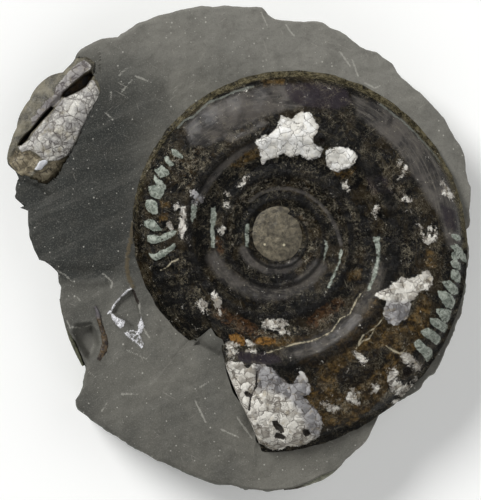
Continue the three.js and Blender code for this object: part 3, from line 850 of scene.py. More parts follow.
GREEN_STRIPS = [
    [(192, 204), (196.5, 204), (197, 209), (196, 217), (192, 222), (191, 214)],
    [(211, 208), (216, 206), (217, 215), (214, 230), (215, 248), (211, 247), (210, 228)],
    [(245.5, 224), (249.5, 224), (249, 235), (248, 247), (245.5, 246), (244.5, 232)],
    [(324, 240), (327.5, 240), (328, 248), (324, 262), (322, 262), (325, 250)],
    [(339.5, 247), (342.5, 250), (341, 260), (336, 274), (329, 288), (326.5, 288), (332, 275),
     (338, 262)],
    [(372, 237), (379, 236), (380, 255), (376, 274), (369, 291), (366, 291), (373, 272),
     (376, 254)],
]
WHITE_TOP = [
    (255, 143), (262, 137), (272, 134), (277, 128), (281, 117), (292, 120), (296, 115), (303, 113),
    (310, 114), (314, 121), (318, 127), (316, 133), (312, 137), (313, 145), (322, 150), (319, 158),
    (309, 160), (300, 155), (290, 157), (283, 153), (276, 157), (268, 160), (262, 166), (261, 158),
    (260, 150),
]
WHITE_TOP_RIGHT = [
    (325, 153), (330, 149), (338, 148), (347, 149), (353, 152), (357, 157), (354, 163), (348, 168),
    (337, 172), (330, 168), (326, 163),
]
WHITE_FOOT = [
    (247, 441), (247, 425), (244, 415), (236, 405), (229, 396), (224, 388), (222, 380), (223, 370),
    (228, 361), (240, 361), (247, 368), (254, 363), (262, 364), (272, 367), (279, 376), (285, 380),
    (290, 385), (295, 380), (300, 371), (305, 374), (309, 384), (310, 391), (303, 396), (308, 402),
    (315, 408), (321, 416), (321, 427), (318, 436), (310, 442), (300, 446), (288, 445), (281, 449),
    (272, 450), (262, 444),
]
WHITE_RIGHT = [
    (374, 294), (382, 290), (387, 288), (393, 283), (400, 277.5), (410, 278.5), (417, 276),
    (423, 271), (428, 271), (431, 277), (431, 284), (426, 289), (419, 290), (416, 294), (413, 299),
    (408, 301), (409, 306), (409, 312), (404, 318), (400, 321), (396, 324), (389, 323), (384, 318),
    (382, 313), (385, 305), (386, 301), (380, 298),
]
LARGE_WHITES = [WHITE_TOP, WHITE_TOP_RIGHT, WHITE_FOOT, WHITE_RIGHT]
WHITE_SMALL = [
    [(396, 159), (401, 160), (400, 170), (397, 170)],
    [(403, 165), (408, 167), (402, 176), (397, 178)],
    [(402, 194), (410, 199), (409, 204), (403, 200)],
    [(372, 212), (376, 206), (379, 208), (374, 217)],
    [(440, 182), (444, 180), (448, 188), (454, 196), (452, 201), (447, 199), (441, 191)],
    [(418, 224), (420, 226), (422, 232), (425, 236), (427, 232), (427, 226), (430, 224), (431, 230),
     (430, 236), (433, 233), (435, 227), (437, 229), (437, 236), (434, 240), (430, 243), (427, 246),
     (423, 244), (422, 239), (419, 234)],
    [(341, 183), (346, 182), (350, 187), (350, 192), (345, 190)],
    [(225, 342), (232, 340), (240, 345), (236, 350), (234, 358), (229, 359), (226, 352)],
    [(244, 339), (251, 340), (256, 344), (252, 347), (247, 345)],
    [(242, 347), (256, 348), (256, 352), (246, 350)],
    [(180, 208), (186, 206.5), (188, 210), (187, 218), (186, 226), (185, 236), (183, 239),
     (180, 234), (180, 224), (181, 216)],
    [(173, 204), (179, 202), (180, 207), (176, 212), (172, 218), (174, 211)],
    [(166, 221), (171, 220), (173, 227), (171, 231), (167, 225)],
    [(191, 191), (198, 190), (203, 197), (203, 203), (198, 204), (192, 204)],
    [(210, 294), (214, 291), (222, 303), (221, 317), (217, 309)],
    [(196, 303), (203, 299), (209, 304), (209, 309), (201, 311)],
    [(224, 203), (230, 201), (231, 207), (226, 210)],
    [(219, 228), (224, 229), (224, 236), (220, 235)],
    [(238, 187), (243, 178), (248, 177), (247, 183), (241, 190)],
    [(226, 192), (231, 190), (232, 195), (227, 198)],
    [(261, 322), (270, 319), (283, 319), (289, 324), (282, 328), (274, 330), (266, 329)],
    [(278, 329), (289, 330), (288, 334), (279, 333)],
    [(400, 353), (406, 351), (413, 356), (420, 364), (421, 371), (414, 371), (409, 366),
     (402, 361)],
    [(385, 369), (394, 366), (397, 372), (396, 379), (402, 384), (410, 383), (417, 377), (416, 386),
     (409, 393), (400, 397), (391, 391), (387, 382)],
    [(393, 398), (400, 399), (396, 404), (390, 406)],
    [(345, 391), (353, 388), (357, 396), (360, 403), (354, 405), (348, 400)],
    [(322, 402), (333, 401), (342, 408), (334, 411), (326, 408)],
    [(370, 383), (378, 385), (378, 392), (371, 392)],
    [(353, 352), (361, 353), (367, 360), (361, 362), (355, 357)],
]
LILAC_ZONES = [
    [(255, 362), (300, 370), (314, 390), (324, 415), (320, 440), (308, 432), (300, 412), (288, 398),
     (270, 390), (257, 388)],
    [(384, 301), (410, 301), (410, 326), (382, 326)],
    [(305, 146), (325, 148), (322, 160), (306, 160)],
    [(150, 206), (173, 206), (174, 216), (158, 216)],
    [(190, 188), (206, 188), (206, 206), (190, 206)],
]
# Greyish shell tone with painted sheen where light glances off the flanks.
PLUM_AND_SHEEN_ZONES = [
    [(184, 126), (205, 106), (235, 94), (262, 87), (285, 85), (300, 88), (312, 100), (298, 108),
     (280, 112), (262, 119), (243, 128), (225, 139), (206, 147), (190, 146)],
    [(352, 96), (380, 105), (402, 119), (430, 150), (446, 175), (458, 212), (462, 242), (448, 250),
     (438, 215), (425, 198), (412, 176), (398, 152), (376, 132), (356, 115)],
    [(222, 139), (240, 131), (250, 126), (262, 118), (268, 124), (252, 134), (232, 143)],
]
# Dark violet shell, with painted sheen at the top of the outer whorl.
PURPLE_AND_SHEEN_ZONES = [
    [(284, 85), (320, 83), (345, 90), (352, 104), (334, 110), (312, 108), (298, 106), (288, 98)],
    [(230, 351), (250, 351), (278, 354), (282, 362), (262, 365), (240, 361)],
    [(365, 178), (385, 178), (390, 192), (372, 196)],
    [(440, 205), (455, 212), (455, 232), (444, 226)],
]
# Grey shell bands with painted sheen on the rounded shoulders, each with its reach in millimetres
# and its strength.
GREY_AND_SHEEN_BANDS = [
    ([(356, 318), (338, 334), (318, 346), (298, 352)], 2.4, 0.95),
    ([(262, 141), (243, 151), (224, 166), (211, 180), (202, 194)], 1.5, 0.85),
    ([(378, 270), (374, 288), (360, 310), (336, 332), (308, 347), (286, 353)], 3.0, 0.6),
    ([(243, 250), (252, 262), (266, 269), (285, 269), (298, 262)], 1.9, 0.75),
    ([(214, 258), (222, 272), (238, 284), (256, 292), (275, 293), (294, 288), (309, 278),
      (319, 266)], 3.0, 0.8),
    ([(250, 201), (262, 192), (275, 188.5), (290, 188.5), (305, 193), (318, 202), (328, 213),
      (336, 228), (341, 245)], 0.8, 0.7),
]
AMBER_ZONES = [
    [(300, 395), (285, 372), (300, 360), (330, 345), (352, 325), (370, 297), (380, 300), (385, 325),
     (404, 325), (414, 305), (420, 293), (430, 300), (428, 330), (412, 352), (395, 375), (380, 400),
     (350, 425), (322, 425)],
    [(330, 168), (345, 172), (356, 166), (352, 179), (338, 180)],
    [(262, 79), (284, 79), (286, 86), (264, 90)],
    [(229, 334), (236, 332.5), (242, 335), (247, 342), (243, 345), (235, 343), (231, 339)],
    [(250, 338), (280, 338), (300, 334), (312, 338), (285, 347), (262, 345)],
    [(160, 201), (171, 202), (172, 208), (162, 208)],
    [(157, 215), (169, 214), (169, 221), (160, 222)],
    [(345, 272), (362, 268), (360, 280), (348, 281)],
    [(425, 250), (436, 252), (436, 268), (424, 266)],
    [(228, 152), (250, 142), (262, 146), (262, 156), (240, 168), (225, 166)],
]
HONEY_ZONES = [
    [(228, 334), (236, 332), (243, 335), (247, 342), (243, 346), (235, 344), (230, 340)],
    [(252, 338), (264, 336), (276, 338), (276, 343), (262, 345), (252, 343)],
]
RUST_ZONES = [
    [(210, 308), (222, 304), (232, 313), (250, 320), (266, 334), (252, 337), (232, 328),
     (216, 318)],
    [(217, 236), (224, 240), (225, 252), (220, 256), (216, 246)],
    [(320, 305), (340, 296), (345, 304), (328, 320), (312, 328), (305, 322)],
]
# Very dark shell, with painted shade on the umbilical walls and along the seams between whorls.
BLACK_AND_SEAM_SHADE_ZONES = [
    [(248, 172), (258, 163), (275, 157), (300, 156), (318, 160), (330, 170), (342, 180), (352, 200),
     (346, 204), (336, 190), (322, 180), (305, 172), (285, 170), (265, 174), (245, 184), (228, 202),
     (222, 204), (232, 190)],
    [(255, 196), (275, 190), (300, 194), (318, 206), (330, 226), (334, 250), (328, 240), (318, 222),
     (300, 208), (280, 203), (262, 206), (252, 216), (242, 236), (236, 250), (232, 236),
     (242, 210)],
    [(232, 262), (245, 275), (262, 281), (280, 282), (298, 276), (292, 272), (268, 272), (250, 264),
     (240, 252)],
    [(240, 300), (262, 305), (290, 302), (318, 290), (334, 276), (336, 290), (318, 308), (290, 318),
     (255, 318)],
    [(355, 200), (368, 226), (372, 255), (368, 285), (362, 280), (364, 250), (360, 222)],
    [(198, 205), (208, 200), (207, 240), (210, 270), (202, 268), (197, 240)],
    [(148, 262), (165, 300), (190, 325), (200, 330), (205, 318), (190, 300), (175, 275),
     (160, 265)],
    [(280, 366), (300, 362), (318, 368), (316, 392), (306, 376), (292, 380)],
    [(335, 372), (365, 350), (390, 345), (386, 362), (360, 385), (340, 392)],
    [(138, 200), (146, 203), (144, 250), (150, 262), (142, 262)],
    [(385, 235), (400, 230), (410, 262), (392, 275), (382, 268)],
]
# Flaked and dusted shell, each with its reach in millimetres and its strength.
DUSTY_BANDS = [
    ([(184, 180), (196, 162), (214, 146), (236, 134), (256, 126)], 4.5, 1.0),
    ([(240, 200), (256, 186), (280, 180), (306, 183), (330, 198), (348, 220), (354, 245),
      (348, 270)], 4.0, 0.7),
    ([(298, 214), (309, 230), (312, 248), (303, 264)], 3.0, 0.8),
    ([(160, 160), (180, 168), (196, 178)], 5.0, 0.9),
    ([(250, 334), (280, 336), (312, 330), (330, 318)], 2.4, 0.9),
    ([(395, 240), (410, 256), (418, 262)], 4.5, 0.6),
    ([(345, 125), (372, 145), (392, 172), (398, 200)], 6.0, 0.35),
    ([(340, 405), (370, 392), (400, 385)], 6.0, 0.7),
    ([(180, 255), (190, 280), (200, 300)], 3.5, 0.5),
    ([(368, 190), (388, 188), (402, 196)], 3.0, 0.9),
    ([(232, 200), (226, 222), (227, 246)], 2.4, 0.9),
    ([(260, 284), (282, 288), (304, 280), (320, 262)], 1.6, 0.7),
]
FINE_CRACKS = [
    [(267, 352), (275, 349.5), (283, 347), (296, 343), (310, 341), (322, 336), (331, 331),
     (340, 318), (349, 314), (354, 303), (360, 293)],
    [(383, 317), (373, 328), (362, 335), (358, 342), (368, 338), (372, 332)],
    [(360, 342), (355, 348)],
    [(161, 270), (166, 268), (172, 262), (178, 259)],
    [(385, 345), (392, 350), (400, 353), (404, 348)],
]
DEEP_CRACKS = [[(257, 368), (256, 386), (251, 395), (249, 409)]]
HOLES = [
    [(244, 391), (248, 390), (251, 392), (250, 396), (246, 395)],
    [(272, 420), (277, 419.5), (278, 423), (282, 426), (284, 431), (280, 431), (276, 428),
     (273, 424)],
    [(276, 431), (280, 432), (285, 436), (283, 439), (278, 437), (274, 436)],
    [(302, 428), (308, 429), (310, 433), (306, 436), (303, 433)],
    [(267, 133), (269, 133), (269, 135.5), (267, 135.5)],
    [(320, 139), (325, 141), (324, 145), (320, 144)],
    [(402, 368), (408, 367), (412, 372), (408, 375), (403, 374)],
]
KEEL_GLINTS = [
    [(178, 128), (184, 121), (193, 117), (210, 102), (220, 99), (235, 92), (253, 87)],
    [(380, 105), (400, 120), (415, 133), (430, 150), (440, 162)],
]


def rib_height(angle, share):
    """Height of the ribs, from 0 to 1."""
    height = np.zeros(angle.shape)
    for at, start, end, half_width in RIBS:
        inward = np.clip((end - share) / 0.25, 0, 1)
        off = (angle - at - RIB_LEAN * inward ** 1.6) / half_width
        begun = smoothstep(share, start - 0.04, start + 0.03)
        ended = smoothstep(share, end - 0.015, end + 0.012)
        height = np.maximum(height, np.exp(-(np.abs(off) ** 2.5)) * begun * (1 - ended))
    return height


def bands(x, y, lines):
    """The strength of drawn bands, falling off from their middle at each one's own reach."""
    return np.max([strength * (1 - smoothstep(line_distance(x, y, line), 0.3 * reach, 1.5 * reach))
                   for line, reach, strength in lines], axis=0)


def shell_relief(x, y, angle, share, size):
    """What stands up from the shell's plain section, or sinks into it, in millimetres."""
    outer = angle < WHORL_END
    white = patches(x, y, LARGE_WHITES)
    calm = np.maximum(smoothstep(patches(x, y, PLUM_AND_SHEEN_ZONES), -1, 1), bands(x, y, GREY_AND_SHEEN_BANDS))
    dusty = bands(x, y, DUSTY_BANDS)
    scale = np.clip(size / 50, 0.35, 1)
    relief = 0.7 * rib_height(angle, share) * outer
    pearl = patches(x, y, PEARLS)
    relief = relief + 0.3 * smoothstep(pearl, -0.2, 1.2)
    relief = relief - 0.25 * smoothstep(-np.abs(pearl + 0.9), -0.7, 0)
    rough = 0.28 * grain(x, y, 4.5, 2.0) + (0.1 + 0.14 * dusty) * grain(x, y, 1.5, 9.0)
    relief = relief + scale * (1 - 0.8 * calm) * rough
    relief = relief + 0.12 * scale ** 3 * np.sin(np.radians(angle) * 34 + 9 * share)
    plates = 0.32 + 0.16 * grain(x, y, 3.0, 4.0)
    relief = relief + smoothstep(white, -0.1, 0.5) * plates * scale
    relief = relief + 0.15 * smoothstep(patches(x, y, WHITE_SMALL), -0.5, 0.7) * scale
    relief = relief - 0.25 * smoothstep(inside(x, y, AMBER_ZONES[0]), -0.2, 0.6) * (white < 0)
    relief = relief + 0.3 * smoothstep(inside(x, y, AMBER_ZONES[3]), -0.2, 1.5)
    relief = relief - 0.5 * strokes(x, y, DEEP_CRACKS, 0.7)
    return relief - 1.0 * smoothstep(patches(x, y, HOLES), -0.4, 0.5)


def whorl_places(angles, shown_columns, hidden_columns):
    """Where the vertices of a stretch of the coil lie: a rule for drawn_tube."""
    hidden = smooth_curve(HIDDEN_FLANK, hidden_columns + 2)[1:-1]
    section = np.vstack([smooth_curve(FLANK, shown_columns), hidden])
    ahead = np.roll(section, -1, axis=0) - np.roll(section, 1, axis=0)
    normals = np.column_stack([ahead[:, 1], -ahead[:, 0]]) / np.hypot(*ahead.T)[:, None]

    def place(column, ring):
        angle = angles[ring]
        (share, up), (normal_out, normal_up) = section[column].T, normals[column].T
        size = keel_radius(angle)
        # the broken mouth slants back over the flank, and its edge is worn round
        near_mouth = smoothstep(MOUTH_ANGLE + SLANT_SPAN - angle, 0, SLANT_SPAN)
        inward = np.clip((1 - share) / 0.57, 0, 1)
        broken_back = MOUTH_BREAK * np.maximum(0, inward - 0.77) ** 1.2
        turned = angle - near_mouth * (MOUTH_SLANT * inward ** 1.5 - MOUTH_LEAD + broken_back)
        worn = np.clip((angle - MOUTH_ANGLE) / 1.2, 0, 1)
        up = np.where(up > 0, up * (0.7 + 0.3 * np.sqrt(1 - (1 - worn) ** 2)), up)
        x, y = coil_places(turned, share * size)
        shown = (column < shown_columns) & (share > 0.44)
        relief = np.where(shown, shell_relief(x, y, turned, share, size), 0)
        x, y = coil_places(turned, share * size + normal_out * relief)
        return x, y, KEEL_HEIGHT + up * size + normal_up * relief

    return place


def paint_shell(piece):
    """Marks the shell's zones, plates and cracks on its vertices for the material."""
    x, y, z = corner_places(piece)
    angle, radius = coil_polar(x, y)
    outside = keel_radius(np.where(angle < MOUTH_START, angle + 360, angle))
    share = radius / outside
    whorl = np.maximum(0, np.floor(np.log(outside / np.maximum(radius, 1)) / math.log(EXPANSION)))
    across = share * EXPANSION ** whorl  # 1 at a whorl's keel, 0.617 where the next whorl begins
    # the olive back of the shell shows at the keel, from the right over the top to the left
    venter = smoothstep(share, 0.945, 0.975) * smoothstep(angle, -20, 15)
    venter *= (1 - smoothstep(angle, 165, 185)) * (1 - 0.45 * smoothstep(angle, 100, 140))
    cracks = np.max([1 - line_distance(x, y, line) / 1.4 for line in FINE_CRACKS], axis=0)
    holes = smoothstep(patches(x, y, HOLES), -0.8, 0.6)
    upper = z > KEEL_HEIGHT - 1.5
    painted = {
        "white": smoothstep(patches(x, y, LARGE_WHITES), -1.3, 1.1),
        "flaky": 0.85 * smoothstep(patches(x, y, WHITE_SMALL), -1.6, 1.4),
        "lilac": smoothstep(patches(x, y, LILAC_ZONES), -1.5, 1.5),
        "pearl": np.maximum(smoothstep(patches(x, y, PEARLS), -0.9, 0.4),
                            0.66 * smoothstep(patches(x, y, GREEN_STRIPS), -1.0, 0.6)),
        "honey": smoothstep(patches(x, y, HONEY_ZONES), -0.8, 1.0),
        # greyish shell tone with painted sheen on the flanks and shoulders
        "plum_and_sheen": np.maximum(smoothstep(patches(x, y, PLUM_AND_SHEEN_ZONES), -2, 2), bands(x, y, GREY_AND_SHEEN_BANDS)),
        # dark violet shell with painted sheen at the top
        "purple_and_sheen": smoothstep(patches(x, y, PURPLE_AND_SHEEN_ZONES), -2, 2),
        "amber": smoothstep(patches(x, y, AMBER_ZONES), -1.2, 1.2),
        "rust": smoothstep(patches(x, y, RUST_ZONES), -1.2, 1.2),
        # very dark shell, with painted shade on the umbilical walls and along the seams
        "black_and_seam_shade": smoothstep(patches(x, y, BLACK_AND_SEAM_SHADE_ZONES), -1.5, 1.5),
        "dusty": bands(x, y, DUSTY_BANDS),
        "venter": venter,
        # groove: painted shade where one whorl runs under the next and beside the inner keels
        "groove": np.maximum(1 - smoothstep(across, 0.617, 0.69),
                             smoothstep(across, 0.9, 0.99) * (whorl > 0)),
        "glint": strokes(x, y, KEEL_GLINTS, 0.9),
        "fine_crack": np.clip(cracks, 0, 1),
        "bright": smoothstep(patches(x, y, [WHITE_TOP, WHITE_TOP_RIGHT]), -1.5, 1.5),
        "hole": np.maximum(holes, 0.8 * strokes(x, y, DEEP_CRACKS, 0.8)),
    }
    for name, values in painted.items():
        add_mask(piece, name, values * upper)


def make_shell_material():
    """Dark brown shell with its zones, and white calcite in cracked plates over it."""
    material, tree, shader = new_material("Fossil shell")
    at = object_millimetres(tree)
    broad = cloudy(tree, at, 0.13, 5, 0.62, 0.5)
    mottle = cloudy(tree, at, 0.6, 8, 0.75, 0.8)
    fine = cloudy(tree, at, 2.4, 5, 0.75, 0.3)
    streaks = use_group(tree, COIL_STREAKS, Vector=at, Scale=0.9, Detail=7, Roughness=0.72,
                        Distortion=0.3)["Streaks"]
    clots = span(tree, cloudy(tree, at, 0.2, 8, 0.74, 0.8), 0.44, 0.58)
    sway = use_group(tree, RAGGED_EDGES, Vector=at, Scale=0.42, Detail=9, Distortion=0.6,
                     Reach=1.3)["Sway"]

    def zone(name, ragged, low, high):
        """A painted zone with ragged edges."""
        return span(tree, scaled(tree, sway, ragged, mask(tree, name)), low, high)

    def mottled(low, high, dark, light):
        return mixed(tree, span(tree, mottle, low, high), dark, light)

    # the bare brown shell and its zones
    base = mottled(0.46, 0.72, colour(5, 5, 4), colour(32, 27, 18))
    brown = mixed(tree, fine, colour(12, 9, 5), colour(62, 50, 28))
    base = laid(tree, base, span(tree, broad, 0.49, 0.6), 0.55, brown)
    base = laid(tree, base, span(tree, streaks, 0.52, 0.68), 0.6, colour(66, 58, 42))
    amber = times(tree, zone("amber", 1.3, 0.25, 0.85), scaled(tree, clots, 0.6, 0.35))
    base = laid(tree, base, amber, 0.9, mottled(0.4, 0.64, colour(32, 23, 9), colour(108, 84, 42)))
    rust = mottled(0.42, 0.6, colour(12, 8, 4), colour(76, 50, 24))
    base = laid(tree, base, zone("rust", 1.2, 0.35, 0.7), 0.8, rust)
    olive = mottled(0.38, 0.62, colour(26, 23, 14), colour(112, 104, 78))
    base = laid(tree, base, zone("venter", 0.8, 0.35, 0.65), 0.8, olive)
    # Very dark shell, with painted shade on the umbilical walls and along the seams between whorls.
    black_and_seam_shade = zone("black_and_seam_shade", 1.0, 0.3, 0.75)
    base = laid(tree, base, black_and_seam_shade, 0.85, colour(5, 5, 4))
    # Greyish shell tone with painted sheen where light glances off the flanks and shoulders.
    plum_and_sheen = zone("plum_and_sheen", 0.45, 0.1, 0.95)
    grey_and_sheen = mixed(tree, span(tree, broad, 0.38, 0.62), colour(50, 48, 47), colour(88, 84, 80))
    grey_and_sheen = mixed(tree, span(tree, streaks, 0.45, 0.7), grey_and_sheen, colour(102, 98, 92))
    base = laid(tree, base, plum_and_sheen, 0.88, grey_and_sheen)
    # Dark violet shell, with painted sheen at the top of the outer whorl.
    purple_and_sheen = mixed(tree, fine, colour(28, 24, 30), colour(54, 46, 52))
    base = laid(tree, base, zone("purple_and_sheen", 0.5, 0.2, 0.8), 0.8, purple_and_sheen)

    # flakes, hairs, grains and scratches
    dusty = times(tree, zone("dusty", 0.5, 0.1, 0.9), scaled(tree, clots, 0.7, 0.3))
    amount = scaled(tree, dusty, 0.9, times(tree, clots, 0.22))
    amount = maths(tree, "SUBTRACT", amount, times(tree, black_and_seam_shade, 0.3))
    flecks = use_group(tree, FLECKS, Vector=at, Amount=amount)
    tone = span(tree, flecks["Tone"], 0.42, 0.58)
    clear = maths(tree, "SUBTRACT", 1.0, times(tree, plum_and_sheen, 0.6))
    base = laid(tree, base, times(tree, flecks["Flakes"], clear), 0.8,
                mixed(tree, tone, colour(84, 66, 42), colour(158, 152, 138)))
    hairs = times(tree, flecks["Hairs"], scaled(tree, dusty, 0.8, 0.35, clamp=True))
    base = laid(tree, base, times(tree, hairs, clear), 0.95, colour(166, 156, 132))
    grains = use_group(tree, SPECKLE, Vector=at, Spacing=1.5, Grain_size=0.26)["Grains"]
    base = laid(tree, base, grains, 0.6, colour(176, 170, 152))
    scratches = use_group(tree, SCRATCHES, Vector=at, Amount=0.5)["Scratches"]
    base = laid(tree, base, scratches, 0.7, colour(150, 142, 122))
    # Painted shade: very dark where each whorl meets the next, as occlusion in the seams.
    base = laid(tree, base, zone("groove", 0.35, 0.25, 1.0), 0.8, colour(7, 6, 5))

    # pearly ribs, glints, pale cracks and honey brown
    worn = span(tree, cloudy(tree, at, 0.9, 8, 0.8, 0.5), 0.36, 0.48)
    pearl = mottled(0.36, 0.64, colour(104, 112, 102), colour(184, 190, 178))
    base = laid(tree, base, times(tree, zone("pearl", 0.7, 0.4, 0.6), worn), 0.95, pearl)
    base = laid(tree, base, zone("glint", 1.2, 0.5, 0.9), 0.55, colour(128, 132, 124))
    base = laid(tree, base, zone("fine_crack", 0.5, 0.74, 0.94), 0.8, colour(190, 180, 154))
    honey = mottled(0.4, 0.62, colour(40, 24, 8), colour(148, 106, 46))
    base = laid(tree, base, zone("honey", 0.7, 0.35, 0.75), 0.9, honey)

    # white calcite
    bright = mask(tree, "bright")
    plates = use_group(tree, CRACKLE, Vector=at, Plate_size=3.3,
                       Crack_width=scaled(tree, bright, -0.04, 0.17))
    flaky = times(tree, zone("flaky", 1.5, 0.46, 0.6), span(tree, fine, 0.3, 0.5, 0.45, 1.0))
    white = maths(tree, "MAXIMUM", zone("white", 1.0, 0.44, 0.52), flaky)
    tint = span(tree, plates["Plate tint"], 0.2, 0.8)
    calcite = mixed(tree, tint, colour(158, 152, 142), colour(240, 236, 226))
    lilac = mixed(tree, tint, colour(92, 92, 96), colour(158, 157, 160))
    calcite = laid(tree, calcite, mask(tree, "lilac"), 0.85, lilac)
    clean = mixed(tree, tint, colour(240, 237, 228), colour(255, 254, 250))
    calcite = laid(tree, calcite, bright, 0.95, clean)
    stain = span(tree, cloudy(tree, at, 0.35, 6, 0.7, 0.6), 0.52, 0.66)
    stain = times(tree, stain, scaled(tree, bright, -0.6, 1.0))
    calcite = laid(tree, calcite, stain, 0.4, colour(166, 148, 108))
    grey = span(tree, cloudy(tree, at, 0.8, 6, 0.75, 0.4), 0.52, 0.7)
    grey = times(tree, grey, maths(tree, "SUBTRACT", 1.0, bright))
    calcite = laid(tree, calcite, grey, 0.45, colour(88, 84, 80))
    calcite = laid(tree, calcite, plates["Crack"], 0.75, colour(66, 56, 46))
    base = mixed(tree, white, base, calcite)
    base = laid(tree, base, zone("hole", 0.9, 0.42, 0.62), 0.95, colour(20, 13, 8))
    put(tree, shader.inputs["Base Color"], base)

    rough = span(tree, mottle, 0.3, 0.7, 0.14, 0.34)
    rough = scaled(tree, flecks["Flakes"], 0.25, rough)
    put(tree, shader.inputs["Roughness"], scaled(tree, white, 0.2, rough, clamp=True))
    shader.inputs["Specular IOR Level"].default_value = 0.13

    height = plus(tree, times(tree, mottle, 0.9), times(tree, fine, 0.3))
    height = plus(tree, height, times(tree, flecks["Flakes"], 0.35))
    height = times(tree, height, maths(tree, "SUBTRACT", 1.0, times(tree, plum_and_sheen, 0.7)))
    cracked = times(tree, plates["Height"], 0.4)
    height = plus(tree, height, times(tree, cracked, white))
    bumped(tree, shader, height, 0.8, 0.0006)
    return material


def make_core_material():
    """The tan knob in the middle, with its thin curling lines."""
    material, tree, shader = new_material("Tan core")
    at = object_millimetres(tree)
    streaks = use_group(tree, COIL_STREAKS, Vector=at, Distortion=1.2)["Streaks"]
    mottle = cloudy(tree, at, 0.5, 7, 0.72, 0.5)
    fine = cloudy(tree, at, 2.6, 5, 0.75)
    base = mixed(tree, span(tree, mottle, 0.36, 0.66), colour(48, 43, 32), colour(104, 96, 79))
    base = laid(tree, base, span(tree, fine, 0.5, 0.7), 0.4, colour(122, 114, 95))
    base = laid(tree, base, span(tree, streaks, 0.5, 0.66), 0.3, colour(150, 140, 116))
    curls = use_group(tree, FLECKS, Vector=at, Amount=0.1)["Hairs"]
    base = laid(tree, base, curls, 0.55, colour(158, 148, 122))
    grains = use_group(tree, SPECKLE, Vector=at, Spacing=2.2, Grain_size=0.6)["Grains"]
    base = laid(tree, base, grains, 0.8, colour(200, 190, 160))
    put(tree, shader.inputs["Base Color"], base)
    shader.inputs["Roughness"].default_value = 0.55
    bumped(tree, shader, plus(tree, mottle, times(tree, fine, 0.3)), 0.6, 0.0004)
    return material


def make_core():
    """A low uneven knob, from a ball that is flattened."""
    core = bmesh.new()
    bmesh.ops.create_uvsphere(core, u_segments=160, v_segments=80, radius=1.0)
    for vert in core.verts:
        turn = math.atan2(vert.co.y, vert.co.x)
        uneven = noise.noise((math.cos(turn), math.sin(turn), 5))
        reach = 9.6 + 0.9 * math.sin(turn - 0.6) ** 2 + 0.4 * uneven
        lump = 0.3 * noise.fractal((vert.co.x * 3, vert.co.y * 3, 3), 1, 2, 4)
        vert.co.x, vert.co.y = vert.co.x * reach * 0.96, vert.co.y * reach * 1.06
        vert.co.z = (2.9 + lump) * vert.co.z ** 0.5 if vert.co.z > 0 else 3 * vert.co.z
    middle = (COIL_CENTRE[0] - 1.4, COIL_CENTRE[1] + 1.7, KEEL_HEIGHT + 0.1)
    bmesh.ops.translate(core, verts=core.verts, vec=middle)
    finish_piece(core, "ammonite_core", "ammonite", make_core_material())


def make_ammonite():
    material = make_shell_material()
    # angles round the coil, closer together where the shell is larger
    outer = [*np.arange(MOUTH_ANGLE, MOUTH_ANGLE + 4, 0.35),
             *np.arange(MOUTH_ANGLE + 4, WHORL_END, 0.44)]
    inner = [*np.arange(WHORL_END - 2.4, 612, 0.8), *np.arange(612, 972, 1.4),
             *np.arange(972, COIL_END + 1, 2.6)]
    for name, angles, shown in (("ammonite_outer_whorl", outer, 104),
                                ("ammonite_inner_whorls", inner, 84)):
        places = whorl_places(np.array(angles), shown, HIDDEN_COLUMNS)
        bm = drawn_tube(shown + HIDDEN_COLUMNS, len(angles), places)
        paint_shell(finish_piece(bm, name, "ammonite", material, 60))
    make_core()


# second ammonite, in the block's upper left corner

SECOND_CENTRE = from_grid((58, 122))
SECOND_SLOT = [
    [(18, 145), (24, 136), (31, 130), (38, 120), (44, 113), (51, 106), (54, 108), (47, 116),
     (42, 121), (37, 127), (31, 133), (27, 140), (22, 145)],
    [(61, 96), (63, 92), (69, 87), (76, 81), (83, 75), (90, 72), (94, 75), (91, 80), (86, 87),
     (80, 91), (72, 94.5), (66, 97.5)],
]
SECOND_GROOVE = [(48, 113), (50, 106), (58, 98), (66, 90), (68, 95), (62, 100), (55, 107)]
# The white, crackled flank beside the slot.
SECOND_FLANK = [
    (93, 80), (98, 88), (99.5, 93), (98, 102), (92, 112), (88, 122), (84, 130), (79, 146),
    (74, 153), (66, 156), (58, 160), (48, 161), (42, 158), (36, 153), (30, 150), (22, 152),
    (17, 148), (24, 144), (30, 140), (33, 134), (40, 126), (46, 118), (54, 111), (60, 102),
    (66, 96), (72, 95), (80, 91), (87, 86), (90, 81),
]
SECOND_TOP_PATCH = [
    (84, 60), (90, 64), (92, 68), (86, 72), (76, 80), (68, 88), (60, 97), (56, 98), (55, 88),
    (62, 80), (68, 72), (76, 65),
]
SECOND_GREY_CRACKLE = [
    (30, 118), (44, 101), (56, 90), (64, 95), (62, 102), (52, 110), (38, 124), (29, 130),
]
SECOND_BRIGHT_SPOT = [
    (40, 160), (47, 158), (50, 162), (46, 166), (42, 171), (36, 172), (33, 170), (36, 164),
]
SECOND_BROWN_END = [
    (36, 172), (44, 168), (52, 162), (62, 159), (74, 154), (66, 166), (62, 180), (50, 188),
    (38, 190), (30, 182),
]
SECOND_STAINED_END = [
    (8, 162), (16, 150), (30, 151), (40, 158), (34, 170), (28, 178), (16, 176), (8, 168),
]
SECOND_COLUMNS = 320
SECOND_RINGS = 70
SECOND_SIDE_RINGS = 14


